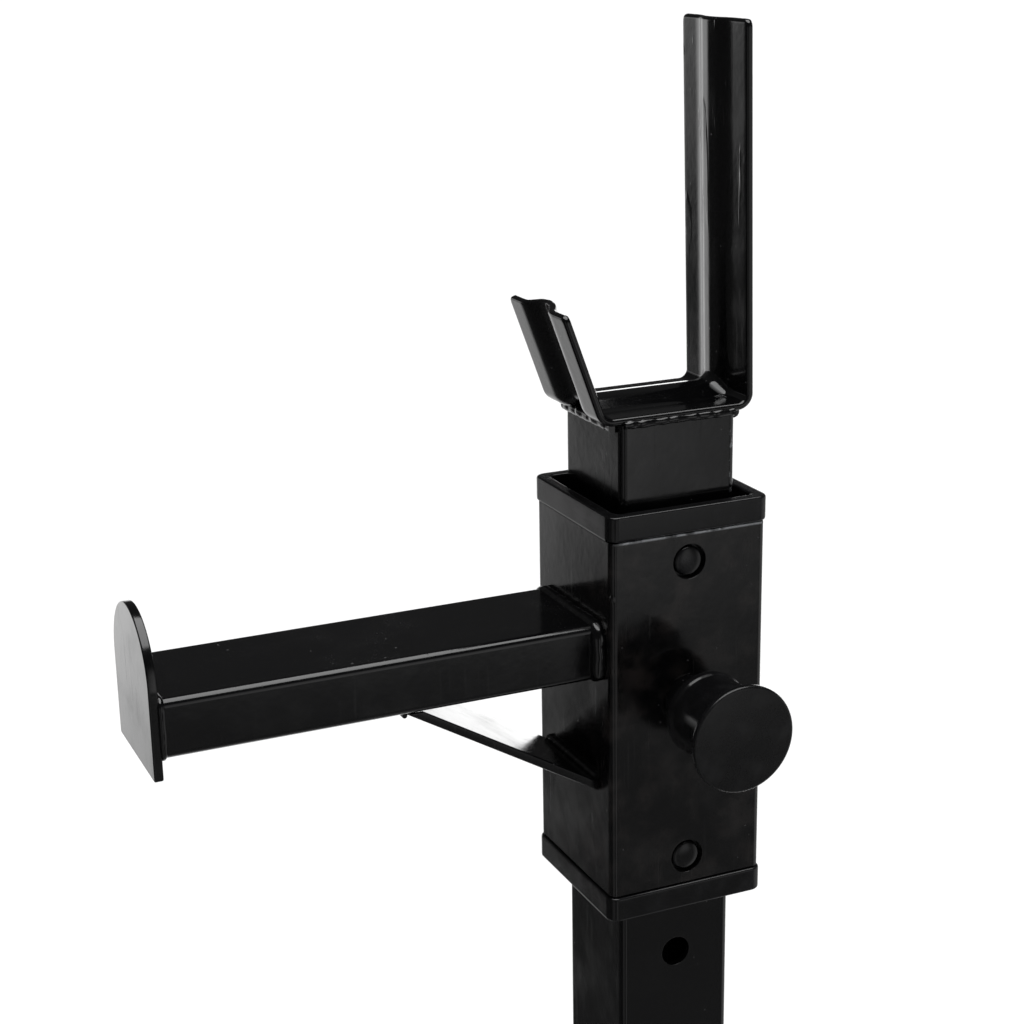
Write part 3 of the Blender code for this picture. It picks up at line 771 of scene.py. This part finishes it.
def make_catch():
    """The skin as a grid, stations along the strip by columns across it, and then its thickness."""
    columns = catch_columns()
    stations = len(catch_line(0.0))
    turns = [step / TIP_STEPS * math.pi / 2 for step in range(TIP_STEPS)]
    reaches = [CATCH_HALF - TIP_ROUND * (1 - math.sin(turn)) for turn in turns]
    from_tips = [TIP_ROUND * (1 - math.cos(turn)) for turn in turns]
    middles = {reach: [catch_line(rib(x * reach / CATCH_HALF) + PLATE / 2) for x in columns]
               for reach in reaches + [CATCH_HALF]}
    shape = bmesh.new()
    grid = []
    shares = []
    for station in range(stations):
        from_end = min(station, stations - 1 - station)
        reach = reaches[from_end] if from_end < TIP_STEPS else CATCH_HALF
        from_tip = from_tips[from_end] if from_end < TIP_STEPS else TIP_ROUND
        row = []
        for x, line in zip(columns, middles[reach]):
            y, z = line[station]
            row.append(shape.verts.new((x * reach / CATCH_HALF, y, POST_TOP + z)))
            shares.append(rim_share(x, from_tip))
        grid.append(row)
    for row, following in zip(grid, grid[1:]):
        for i in range(len(columns) - 1):
            shape.faces.new((row[i], row[i + 1], following[i + 1], following[i]))
    catch = object_from(shape, "catch")
    rim = catch.vertex_groups.new(name="rim")
    for index, share in enumerate(shares):
        rim.add([index], share, "REPLACE")
    plate = catch.modifiers.new("plate", "SOLIDIFY")
    plate.thickness = PLATE
    plate.offset = 0.0
    plate.vertex_group = "rim"
    plate.use_even_offset = True
    settle(catch)
    catch.vertex_groups.clear()
    return catch


fit(make_catch(), CATCH_ENAMEL, "post", "black_paint", "bar_catch")

# %% [markdown]
# ## Weld beads
#
# Each joint is closed with a bead laid by hand: a row of overlapping puddles, each frozen as a
# small crescent. That repeats along a path, so it is made with Geometry Nodes. The path becomes a
# curve, a round profile is swept along it, and the surface is pushed out and in with the distance
# travelled, with noise so that no two puddles match. The bead's radius, the puddle pitch and its
# height are named inputs. Enamel pools over the ripples, so they are kept shallow.

# %% Weld tree
def make_weld_tree():
    """Sweep a bead along a path and ripple it."""
    sockets = [("Radius", "Float"), ("Pitch", "Float"), ("Height", "Float"), ("Seed", "Float"),
               ("Finish", "Material")]
    tree, given, names = new_tree("weld bead", sockets)
    curve = add(tree, "GeometryNodeMeshToCurve", {0: given["Geometry"]}).outputs[0]
    curve = add(tree, "GeometryNodeResampleCurve", {"Curve": curve, "Length": 0.0004},
                mode="LENGTH").outputs[0]
    length = add(tree, "GeometryNodeSplineParameter").outputs["Length"]
    curve = add(tree, "GeometryNodeStoreNamedAttribute", {"Geometry": curve, "Name": "travelled",
                                                          "Value": length}, domain="POINT").outputs[0]
    profile = add(tree, "GeometryNodeCurvePrimitiveCircle", {"Resolution": 16, "Radius": given["Radius"]})
    bead = add(tree, "GeometryNodeCurveToMesh",
               {"Curve": curve, "Profile Curve": profile.outputs[0], "Fill Caps": True}).outputs[0]
    travelled = add(tree, "GeometryNodeInputNamedAttribute", {"Name": "travelled"}).outputs[0]
    puddle = math_of(tree, "DIVIDE", travelled, given["Pitch"])
    wander = add(tree, "ShaderNodeTexNoise", {1: given["Seed"], 2: per_metre(10), 3: 2.0},
                 noise_dimensions="4D").outputs[0]
    puddle = math_of(tree, "ADD", puddle, math_of(tree, "MULTIPLY", wander, 3.0))
    wave = math_of(tree, "SINE", math_of(tree, "MULTIPLY", puddle, 2 * math.pi))
    uneven = math_of(tree, "ADD", math_of(tree, "MULTIPLY", wander, 12.0), -6.0)
    push = math_of(tree, "MULTIPLY", math_of(tree, "ADD", wave, uneven), given["Height"])
    normal = add(tree, "GeometryNodeInputNormal").outputs[0]
    offset = add(tree, "ShaderNodeVectorMath", {0: normal, "Scale": push}, operation="SCALE").outputs[0]
    bead = add(tree, "GeometryNodeSetPosition", {"Geometry": bead, "Offset": offset}).outputs[0]
    end_tree(tree, bead, given["Finish"])
    return tree, names


WELD = make_weld_tree()


def weld(name, path, radius, body, node, seed, closed=False, height=0.00007, pitch=0.0062):
    """Lay a bead along a path of points, with puddles of a pitch and a height in metres."""
    edges = [(i, i + 1) for i in range(len(path) - 1)]
    if closed:
        edges.append((len(path) - 1, 0))
    bead = object_from_points(name, path, edges)
    values = {"Radius": radius, "Pitch": pitch, "Height": height, "Seed": seed, "Finish": ENAMEL}
    grow(bead, *WELD, values)
    return fit(bead, ENAMEL, body, "black_paint", node)


print("weld inputs:", ", ".join(WELD[1]))

# %% Welds under the catch
SEAM = POST_SIDE - 0.0002
for hand, side in (("left", -1), ("right", 1)):
    path = [(side * SEAM, y, POST_TOP + 0.0001) for y in (-0.0238, -0.012, 0.0, 0.012, 0.0238)]
    weld(f"catch_bead_{hand}", path, 0.0016, "post", f"catch_weld_{hand}", seed=2.0 + side, height=0.00012)
for end, side in (("front", -1), ("back", 1)):
    path = [(x, side * (SEAM + 0.0014), POST_TOP - 0.0012) for x in (-0.0210, 0.0, 0.0210)]
    weld(f"catch_bead_{end}", path, 0.0024, "post", f"catch_weld_{end}", seed=6.0 + side)

# %% [markdown]
# ## The sliding sleeve
#
# The sleeve is 68 mm tube. Its side towards the knob has the pin hole, and both sides have two
# round holes that the bushes snap into. It is the piece closest to the eye, so its finish is the
# same enamel with a little more waviness and haze: wide flats of rolled tube are never quite
# flat. A painted highlight, a bright line, runs along the upper edge, and two drops of paint
# dried on the corner by the arm. The drops are small turned beads, joined to the tube.

# %% Sleeve
SLEEVE_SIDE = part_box("sleeve_tube")[1].x
SLEEVE_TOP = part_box("sleeve_tube")[1].z
SLEEVE_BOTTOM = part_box("sleeve_tube")[0].z
SNAP_HOLE = 0.0071
SNAP_HEIGHTS = {"top": POST_TOP - 0.055, "bottom": POST_TOP - 0.181}
# The sleeve's enamel paints a highlight: a bright line along its upper edge.
SLEEVE_ENAMEL = enamel("gloss_stoved_enamel_wide_flats", wave=0.00014, sheen=(0.13, 0.24), haze=0.27,
                       chips_and_glint=painted_edge_glint)

sleeve = tube("sleeve", "sleeve_tube", "Z", TUBE_WALL)
punch(sleeve, (SLEEVE_SIDE, 0, PIN_HEIGHT), PIN_HOLE, SLEEVE_ENAMEL)
snap_pitch = SNAP_HEIGHTS["bottom"] - SNAP_HEIGHTS["top"]
for side in (-1, 1):
    upper_hole = (side * SLEEVE_SIDE, 0, SNAP_HEIGHTS["top"])
    punch(sleeve, upper_hole, SNAP_HOLE, SLEEVE_ENAMEL, (0, 0, snap_pitch), 2)
ease_edges(sleeve)
DROP = [(0.0, 0.0023), (0.0006, 0.0020), (0.0010, 0.0011), (0.0012, 0.0), (0.0012, -0.0010),
        (0.0008, -0.0019), (0.0, -0.0022)]
on_corner = SLEEVE_SIDE - 0.00125
drops = [turned(f"paint_drop_{i}", DROP, (on_corner, -on_corner, SLEEVE_TOP - below), "Z", 24)
         for i, below in enumerate((0.0225, 0.0515))]
sleeve = joined("sleeve", sleeve, *drops)
fit(sleeve, SLEEVE_ENAMEL, "sleeve", "black_paint", "sleeve_tube")

# %% [markdown]
# ## The bushes
#
# Each end of the sleeve holds a moulded bush: a square flange with a well round the post, a skirt
# that fills the gap between the tubes, and two round studs that snap into the sleeve's holes.
# Lofting its section as one closed ring keeps the shell watertight and lets every moulded edge
# have its own radius. The studs are turned discs with a shallow dome, joined to the skirt.

# %% Bushes
BORE = 0.0254
WELL = 0.0300
SLACK = 0.0003           # between a bush and the tube that holds it
BUSH_CORNER = 0.0045
SKIRT_CORNER = 0.0028
MOULDED_EDGE = 0.0011
STUD = [(0.0, 0.0032), (0.0030, 0.0031), (0.0050, 0.0028), (0.0058, 0.0023), (0.0061, 0.0015),
        (0.0061, -0.0010), (0.0, -0.0010)]


def bush_section(flange, flange_z, seat_z, skirt, skirt_z, well_z=None):
    """(half width, height) round the bush's section: flange, skirt, bore and, if given, a well."""
    section = [(flange, seat_z), (flange, flange_z)]
    section += [(BORE, flange_z)] if well_z is None else [(WELL, flange_z), (WELL, well_z), (BORE, well_z)]
    return section + [(BORE, skirt_z), (skirt, skirt_z), (skirt, seat_z)]


def bush(name, section, flange):
    """Loft a square bush from its section. Corners shrink with the outline's size."""
    rows = []
    for half, height in softened(section, MOULDED_EDGE, ring=True):
        corner = max(BUSH_CORNER - (flange - half) * 0.35, SKIRT_CORNER)
        rows.append((half, half, corner, height))
    return loft(name, rows)


def sleeve_bush(end, side_z, inward):
    """The bush in one end of the sleeve, whose cut is at side_z; inward is the way into the tube."""
    low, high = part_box(f"sleeve_bushing_{end}")
    flange = high.x
    outer = high.z if end == "top" else low.z
    tip = low.z if end == "top" else high.z
    seat = side_z - inward * SLACK
    skirt = SLEEVE_SIDE - TUBE_WALL - SLACK
    section = bush_section(flange, outer, seat, skirt, tip, side_z)
    body = bush(f"bush_{end}_body", section, flange)
    studs = [turned(f"stud_{end}_{axis}", STUD, (side * skirt, 0, SNAP_HEIGHTS[end]), axis, 40)
             for side, axis in ((1, "X"), (-1, "-X"))]
    return joined(f"bush_{end}", body, *studs)


fit(sleeve_bush("top", SLEEVE_TOP, -1), NYLON, "sleeve", "black_plastic", "sleeve_bushing_top")
fit(sleeve_bush("bottom", SLEEVE_BOTTOM, 1), NYLON, "sleeve", "black_plastic", "sleeve_bushing_bottom")

# %% [markdown]
# ## The spotter arm
#
# A flat rectangular tube stands out from the sleeve, closed by a plate with a half-round top that
# keeps the bar from rolling off, and held from below by a slanting flat bar. The plate and the bar
# are outlines with a thickness, and their edges are eased by a bevel, because a guillotined and
# painted edge always shows a thin line of light.

# %% Arm, end plate and brace
def slab(name, points, near, far, axis, ease):
    """An outline with a thickness and eased edges."""
    shape = bmesh.new()
    base = shape.faces.new([shape.verts.new(ALONG[axis](u, v, near)) for u, v in points])
    moved = bmesh.ops.extrude_face_region(shape, geom=[base])["geom"]
    tops = [part for part in moved if isinstance(part, bmesh.types.BMVert)]
    bmesh.ops.translate(shape, verts=tops, vec=ALONG[axis](0, 0, far - near))
    return ease_edges(object_from(shape, name), ease)


fit(tube("arm", "spotter_arm", "Y", THIN_WALL, lip=0.0008), ENAMEL, "sleeve", "black_paint", "spotter_arm")


CUT_EASE = 0.0006
FOOT_ROUND = 0.0012
BRACE_THICK = 0.0035


def make_end_plate():
    """A plate with a half-round top and slightly rounded lower corners."""
    low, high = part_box("arm_end_plate")
    radius = high.x
    crown = high.z - radius
    turns = [math.pi * k / 48 for k in range(49)]
    arc = [(radius * math.cos(turn), crown + radius * math.sin(turn)) for turn in turns]
    feet = softened([(-radius, crown), (-radius, low.z), (radius, low.z), (radius, crown)], FOOT_ROUND)
    return slab("end_plate", arc + feet[1:-1], low.y, high.y, "Y", CUT_EASE)


def make_brace():
    """A slanting flat bar, its ends cut level and upright."""
    low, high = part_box("arm_brace")
    slope = (high.z - low.z) / (high.y - low.y)
    thick = BRACE_THICK * math.hypot(1, slope)
    points = [(low.y + thick / slope, high.z), (low.y, high.z), (high.y, low.z), (high.y, low.z + thick)]
    return slab("brace", points, low.x, high.x, "X", CUT_EASE)


fit(make_end_plate(), ENAMEL, "sleeve", "black_paint", "arm_end_plate")
fit(make_brace(), ENAMEL, "sleeve", "black_paint", "arm_brace")

# %% Welds of the arm
def round_arm(y, beside, above):
    """A loop round the arm's outline, at one distance beside it and another above and below."""
    low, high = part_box("spotter_arm")
    half_x = (high.x - low.x) / 2 + beside
    half_z = (high.z - low.z) / 2 + above
    middle = (high.z + low.z) / 2
    return [(u, y, middle + v) for u, v in outline(half_x, half_z, 0.003, 5)]


arm_low, arm_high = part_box("spotter_arm")
brace_low, brace_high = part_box("arm_brace")
weld("arm_root_bead", round_arm(arm_high.y - 0.0012, -0.0002, -0.0026), 0.0038, "sleeve", "arm_root_weld",
     seed=3.0, closed=True, height=0.00008, pitch=0.0095)
weld("end_plate_bead", round_arm(arm_low.y + 0.0004, -0.0002, -0.0004), 0.0014, "sleeve", "end_plate_weld",
     seed=9.0, closed=True, height=0.00005)
ACROSS_BRACE = (-0.0225, 0.0, 0.0225)
lower = [(x, brace_high.y - 0.0004, brace_low.z + 0.0052) for x in ACROSS_BRACE]
upper = [(x, brace_low.y - 0.0002, brace_high.z - 0.0010) for x in ACROSS_BRACE]
weld("brace_bead_lower", lower, 0.0017, "sleeve", "brace_weld_lower", seed=12.0)
weld("brace_bead_upper", upper, 0.0011, "sleeve", "brace_weld_upper", seed=15.0, height=0.00004)

# %% [markdown]
# ## The pull pins
#
# Each pin has a steel rod, a spring in a welded housing, and a moulded knob shaped like a bobbin:
# a wide, slightly domed face to pull on, a neck for the fingers and a rear flange. Both are turned
# from profiles of (radius, distance out) from the tube's side, given with sharp corners that are
# then rounded.

# %% Knobs and housings
KNOB_REACH = 0.0445
KNOB = [(0.0, KNOB_REACH), (0.0070, 0.04444), (0.0140, 0.04425), (0.0215, 0.0439), (0.0215, 0.0412),
        (0.0182, 0.0392), (0.0174, 0.0375), (0.0166, 0.0180), (0.0172, 0.0166), (0.0172, 0.0132),
        (0.0119, 0.0132), (0.0119, 0.0280), (0.0044, 0.0280), (0.0044, 0.0380), (0.0, 0.0380)]
HOUSING = [(0.0110, 0.0124), (0.0110, 0.0003), (0.0063, 0.0003), (0.0063, 0.0082), (0.0044, 0.0082),
           (0.0044, 0.0124)]


def dress_pin(prefix, pin_body, holder):
    """The knob and the housing of one pull pin; the rod and the spring keep their CAD shapes."""
    low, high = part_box(f"{prefix}_pin_knob")
    origin = (high.x - KNOB_REACH, 0, (low.z + high.z) / 2)
    knob = turned(f"{prefix}_knob", softened(KNOB, 0.0016, 5), origin, "X", 96)
    fit(knob, KNOBS[pin_body], pin_body, "black_plastic", f"{prefix}_pin_knob")
    housing = turned(f"{prefix}_housing", softened(HOUSING, 0.0006, 3, ring=True), origin, "X", 64, ring=True)
    fit(housing, ENAMEL, holder, "black_paint", f"{prefix}_pin_boss")


dress_pin("sleeve", "sleeve_pin", "sleeve")
dress_pin("column", "column_pin", "base")

# %% [markdown]
# ## The column and the floor frame
#
# The fixed column is a 60 mm tube on a bolted flange with two gussets. It stands on a long rail
# that joins two cross feet. The same loft makes all the tubes, and the same bush closes the
# column. Foot caps are moulded, each with a plug inside the tube.

# %% Column, rail and feet
column = tube("column", "column_tube", "Z", THIN_WALL)
low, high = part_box("column_pin_boss")
punch(column, (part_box("column_tube")[1].x, 0, (low.z + high.z) / 2), PIN_HOLE, ENAMEL)
ease_edges(column)
fit(column, ENAMEL, "base", "black_paint", "column_tube")

low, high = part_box("column_bushing")
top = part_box("column_tube")[1].z
FLANGE_OVERHANG = 0.0038  # past the skirt
section = bush_section(high.x, high.z, top + SLACK, high.x - FLANGE_OVERHANG, low.z)
fit(bush("column_bush", section, high.x), NYLON, "base", "black_plastic", "column_bushing")

for node in ("cross_foot_front", "cross_foot_back"):
    bar = tube(node.replace("cross_foot", "foot_bar"), node, "X", TUBE_WALL)
    fit(bar, ENAMEL, "base", "black_paint", node)

# %% Rail, flange and gussets
BOLT_HOLE = 0.0043
FLANGE_CORNER = 0.004
GUSSET_NOSE = 0.008      # height and width of its two cut corners
GUSSET_ROUND = 0.0015
bolts = [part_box(f"flange_bolt_{number}") for number in range(1, 5)]
SPOTS = [((low.x + high.x) / 2, (low.y + high.y) / 2) for low, high in bolts]


def drilled(thing, height):
    """Cut the four bolt holes down through the top of a piece."""
    reach = 0.01
    bit = [(0, -reach), (BOLT_HOLE, -reach), (BOLT_HOLE, reach), (0, reach)]
    for x, y in SPOTS:
        drill = turned("drill", bit, (x, y, height), "Z", 32)
        cut = thing.modifiers.new("hole", "BOOLEAN")
        cut.object = drill
        cut.solver = "EXACT"
        settle(thing)
        bpy.data.objects.remove(drill)
    return thing


rail = drilled(tube("rail", "base_rail", "Y", TUBE_WALL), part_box("base_rail")[1].z)
fit(rail, ENAMEL, "base", "black_paint", "base_rail")
low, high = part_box("column_flange")
rows = block_rows(high.x, high.y, FLANGE_CORNER, low.z, high.z, EASE)
flange = drilled(loft("flange", rows, ring=False), (low.z + high.z) / 2)
fit(flange, ENAMEL, "base", "black_paint", "column_flange")
for label, side in (("front", -1), ("back", 1)):
    low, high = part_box(f"gusset_{label}")
    near, far = (high.y, low.y) if side < 0 else (low.y, high.y)
    corners = [(near, low.z), (far, low.z), (far, low.z + GUSSET_NOSE), (near + side * GUSSET_NOSE, high.z),
               (near, high.z)]
    plate = slab(f"rib_{label}", softened(corners, GUSSET_ROUND, ring=True), low.x, high.x, "X", EASE)
    fit(plate, ENAMEL, "base", "black_paint", f"gusset_{label}")

# %% Foot caps
CAP_DEPTH = 0.004
CAP_CORNER = 0.004
CAP_ROUND = 0.0014
PLUG_CORNER = 0.001
for end in ("front", "back"):
    for hand, side in (("left", -1), ("right", 1)):
        node = f"foot_cap_{end}_{hand}"
        low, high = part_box(node)
        half = (high.z - low.z) / 2
        centre = ((low.y + high.y) / 2, (low.z + high.z) / 2)
        outer, tip = (high.x, low.x) if side > 0 else (low.x, high.x)
        seat = outer - side * CAP_DEPTH
        plug = half - TUBE_WALL - SLACK
        rows = [(half - inset, half - inset, CAP_CORNER - inset, outer - side * rise)
                for inset, rise in quarter(CAP_ROUND)]
        rows.append((half, half, CAP_CORNER, seat))
        rows += [(plug, plug, PLUG_CORNER, seat), (plug, plug, PLUG_CORNER, tip)]
        cap = loft(f"cap_{end}_{hand}", rows, "X", centre, ring=False)
        fit(cap, NYLON, "base", "black_plastic", node)

# %% [markdown]
# ## Bolts, washers and rubber feet
#
# Four bolts with washers hold the flange and four rubber pads carry the frame. Each is modelled
# once and set on a point for every place, so the tree is the same for all: take the points,
# put the template on each with its own turn, and make it real. A fixed seed turns each bolt's
# head by a different angle, as a spanner leaves them.

# %% Placing tree
def make_placing_tree():
    """Set a template on every point, each turned about Z by a random angle up to Turn."""
    sockets = [("Template", "Object"), ("Turn", "Float"), ("Seed", "Int"), ("Finish", "Material")]
    tree, given, names = new_tree("placed on points", sockets)
    shape = add(tree, "GeometryNodeObjectInfo", {"Object": given["Template"]}).outputs["Geometry"]
    angle = add(tree, "FunctionNodeRandomValue", {"Min": 0.0, "Seed": given["Seed"]}, data_type="FLOAT")
    tree.links.new(given["Turn"], angle.inputs[3])
    euler = add(tree, "ShaderNodeCombineXYZ", {2: angle.outputs[1]}).outputs[0]
    turn = add(tree, "FunctionNodeEulerToRotation", {0: euler}).outputs[0]
    placed = add(tree, "GeometryNodeInstanceOnPoints",
                 {"Points": given["Geometry"], "Instance": shape, "Rotation": turn}).outputs[0]
    end_tree(tree, placed, given["Finish"])
    return tree, names


PLACING = make_placing_tree()
PLACING_SEED = 7


def place_all(name, template, points, finish, turn=0.0):
    """Put a template on every point, as one mesh."""
    made = object_from_points(name, points)
    grow(made, *PLACING, {"Template": template, "Turn": turn, "Seed": PLACING_SEED, "Finish": finish})
    bpy.data.objects.remove(template)
    return made


print("placing inputs:", ", ".join(PLACING[1]))

# %% Bolts and washers
CENTRE = (0, 0, 0)


def bolt_template():
    """A hexagon head with a chamfered top on its shank, with its seat at height 0, and that seat."""
    top = bolts[0][1].z
    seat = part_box("flange_washer_1")[1].z + 0.0003
    height = top - seat
    shank = seat - bolts[0][0].z
    hexagon = [(0, 0), (0.0072, 0), (0.0075, 0.0004), (0.0075, height - 0.0007), (0.0066, height),
               (0, height)]
    thread = [(0, 0.0005), (0.004, 0.0005), (0.004, 0.0007 - shank), (0.0034, -shank), (0, -shank)]
    head = turned("head", hexagon, CENTRE, "Z", 6)
    stem = turned("stem", thread, CENTRE, "Z", 24)
    return joined("bolt_template", ease_edges(head, 0.0003, 2), stem), seat


bolt, seat = bolt_template()
placed = place_all("bolts", bolt, [(x, y, seat) for x, y in SPOTS], ZINC, turn=0.9)
fit(placed, ZINC, "base", "bright_steel", *[f"flange_bolt_{number}" for number in range(1, 5)])
RING = [(0.0085, 0.0016), (0.0085, 0.0), (0.0044, 0.0), (0.0044, 0.0016)]
washer = turned("washer_template", softened(RING, 0.0004, 2, ring=True), CENTRE, "Z", 40, ring=True)
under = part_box("flange_washer_1")[0].z
placed = place_all("washers", washer, [(x, y, under) for x, y in SPOTS], ZINC)
fit(placed, ZINC, "base", "bright_steel", *[f"flange_washer_{number}" for number in range(1, 5)])

# %% Rubber feet
FEET = [f"rubber_foot_{end}_{hand}" for end in ("front", "back") for hand in ("left", "right")]
PAD = [(0.0, 0.0060), (0.0190, 0.0060), (0.0196, 0.0048), (0.0202, 0.0046), (0.0202, 0.0038),
       (0.0208, 0.0036), (0.0208, 0.0028), (0.0213, 0.0026), (0.0215, 0.0012), (0.0211, 0.0),
       (0.0172, 0.0), (0.0168, 0.0008), (0.0100, 0.0008), (0.0096, 0.0), (0.0, 0.0)]
pad = turned("pad_template", softened(PAD, 0.0003, 2), CENTRE, "Z", 48)
boxes = [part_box(node) for node in FEET]
spots = [((low.x + high.x) / 2, (low.y + high.y) / 2, low.z) for low, high in boxes]
fit(place_all("rubber_pads", pad, spots, RUBBER), RUBBER, "base", "rubber", *FEET)

# %% [markdown]
# ## CAD shapes that stay
#
# The rods, the springs and the glide inside the column already have their true shapes, so they
# keep their meshes and only take a finish.

# %% Finishes on the kept shapes
KEPT = {"sleeve_pin_rod": ZINC, "column_pin_rod": ZINC, "sleeve_pin_spring": ZINC, "column_pin_spring": ZINC,
        "post_glide": NYLON}
for node, finish in KEPT.items():
    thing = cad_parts[node]
    for place in thing.material_slots:
        place.material = finish
    if not thing.material_slots:
        thing.data.materials.append(finish)
print("kept from the CAD:", ", ".join(KEPT))

# %% [markdown]
# ## Studio
#
# Gloss black shows its surroundings more than itself, so the studio is what gives the shapes away.
# It is a white sweep under soft overhead light. The sweep ends in shadow, and where it ends is
# what draws the soft edges in the paint: bright on the arm's side, dark behind the viewer. Weaker
# patches stand round the knob's side: a far wall, a faint glow, a narrow strip and two panels. All
# of them are painted once, as a plain map of the room round the object, by direction. A ray that
# comes straight from the camera sees plain white instead.
# The floor is pale, and its own mirror image is left out of the gloss so that the map alone is seen.

# %% Room seen by the gloss
DARKEST = 0.05
PATCHES = {  # degrees round from the knob's side, degrees above the horizon, strength
    "far wall": (((37.0, 24.0), (2.0, 16.0)), ((-23.0, -15.0), (25.0, 5.0)), 0.66),
    "faint glow": (((-20.0, 5.0), (85.0, 60.0)), ((5.0, -8.0),), 0.10),
    "narrow strip": (((-20.0, -11.0), (0.0, -6.0)), ((10.0, -5.0),), 0.5),
    "side panel": (((40.0, 56.0), (132.0, 110.0)), ((12.0, -5.0),), 0.45),
    "corner panel": (((-64.0, -52.0), (-28.0, -38.0)), ((8.0, -6.0),), 0.25),
}


def fades(tree, value, spans):
    """A fade from dark to bright for each (dark limit, bright limit)."""
    return [ramp(tree, value, dark, bright) for dark, bright in spans]


def in_degrees(tree, angle):
    """An angle socket turned from radians to degrees."""
    return add(tree, "ShaderNodeMath", {0: angle}, operation="DEGREES").outputs[0]


def sweep_light(tree, from_arm, rise):
    """The white sweep: one end slants, it dims low down, and it is brighter further round."""
    below = math_of(tree, "MINIMUM", math_of(tree, "ADD", rise, 17.0), 0.0)
    above = math_of(tree, "MAXIMUM", math_of(tree, "ADD", rise, 12.0), 0.0)
    lean = math_of(tree, "ADD", math_of(tree, "MULTIPLY", below, 0.4), math_of(tree, "MULTIPLY", above, 0.8))
    slanted = math_of(tree, "ADD", from_arm, lean)
    return math_of(tree, "MULTIPLY", ramp(tree, slanted, -30.0, -14.5), ramp(tree, from_arm, 58.0, 40.0),
                   ramp(tree, rise, 9.0, -2.0), ramp(tree, rise, -25.0, -17.0, 0.6, 1.0),
                   ramp(tree, from_arm, 12.0, 32.0, 1.42, 2.5))


def make_room():
    """The world: the map for reflections, and white for the camera."""
    world = bpy.data.worlds.new("studio")
    bpy.context.scene.world = world
    world.use_nodes = True
    tree = world.node_tree
    tree.nodes.clear()
    look = add(tree, "ShaderNodeTexCoord").outputs["Generated"]
    x, y, z = add(tree, "ShaderNodeSeparateXYZ", {0: look}).outputs
    rise = in_degrees(tree, math_of(tree, "ARCSINE", z))
    from_arm = in_degrees(tree, math_of(tree, "ARCTAN2", y, math_of(tree, "MULTIPLY", x, -1.0)))
    from_knob = in_degrees(tree, math_of(tree, "ARCTAN2", y, x))
    light = sweep_light(tree, from_arm, rise)
    for round_about, heights, strength in PATCHES.values():
        shares = fades(tree, from_knob, round_about) + fades(tree, rise, heights)
        light = math_of(tree, "ADD", light, math_of(tree, "MULTIPLY", *shares, strength))
    light = math_of(tree, "ADD", light, DARKEST)
    seen = add(tree, "ShaderNodeLightPath").outputs["Is Camera Ray"]
    strength = add(tree, "ShaderNodeMix", {0: seen, 2: light, 3: 1.0}).outputs[0]
    back = add(tree, "ShaderNodeBackground", {0: (1, 1, 1, 1), 1: strength})
    add(tree, "ShaderNodeOutputWorld", {0: back.outputs[0]})
    return world


print("room:", make_room().name)

# %% Floor and overhead light
def make_floor():
    """A pale floor that the gloss doesn't mirror."""
    half = 40.0
    corners = [(-half, -half, 0), (half, -half, 0), (half, half, 0), (-half, half, 0)]
    floor = object_from_points("floor", corners, faces=[(0, 1, 2, 3)])
    finish, _, shader, _ = new_finish("matt_white_sweep")
    shader.inputs["Base Color"].default_value = linear("#f4f4f4")
    shader.inputs["Roughness"].default_value = 0.9
    shader.inputs["Specular IOR Level"].default_value = 0.2
    floor.data.materials.append(finish)
    floor.visible_glossy = False
    return floor


make_floor()
sun = bpy.data.lights.new("overhead_softbox", "SUN")
sun.energy = 3.6
sun.angle = math.radians(60)
overhead = in_scene("overhead_softbox", sun)
overhead.rotation_euler = (math.radians(-4), math.radians(6), 0)
bpy.context.scene.view_settings.view_transform = "Standard"
bpy.context.scene.view_settings.look = "None"
print("overhead light:", sun.energy, "W/m2 over", round(math.degrees(sun.angle)), "degrees")

# %% [markdown]
# ## Camera
#
# The view is a close three-quarter look from above at the head of the stand, with the arm to the
# left. The place, the direction and the tilt are given as a camera operator would note them.

# %% Camera
LENS_LENGTH = 70.4       # millimetres, on a sensor 36 mm wide
CAMERA_PLACE = (0.68089, -0.35748, 1.32501)
AZIMUTH = math.radians(66.39)
ELEVATION = math.radians(17.07)
ROLL = math.radians(-1.03)


def make_camera():
    """A camera built from its right, up and forward directions."""
    right = Vector((math.cos(AZIMUTH), math.sin(AZIMUTH), 0))
    ahead = Vector((-math.sin(AZIMUTH) * math.cos(ELEVATION), math.cos(AZIMUTH) * math.cos(ELEVATION),
                    -math.sin(ELEVATION)))
    up = right.cross(ahead)
    tilted_right = math.cos(ROLL) * right + math.sin(ROLL) * up
    tilted_up = math.cos(ROLL) * up - math.sin(ROLL) * right
    turn = Matrix((tilted_right, tilted_up, -ahead)).transposed().to_4x4()
    lens = bpy.data.cameras.new("camera")
    lens.lens = LENS_LENGTH
    lens.sensor_width = 36.0
    lens.clip_start = 0.01
    lens.clip_end = 200.0
    camera = in_scene("camera", lens)
    camera.matrix_world = Matrix.Translation(CAMERA_PLACE) @ turn
    bpy.context.scene.camera = camera
    return camera


print("camera at", [round(value, 3) for value in make_camera().location])
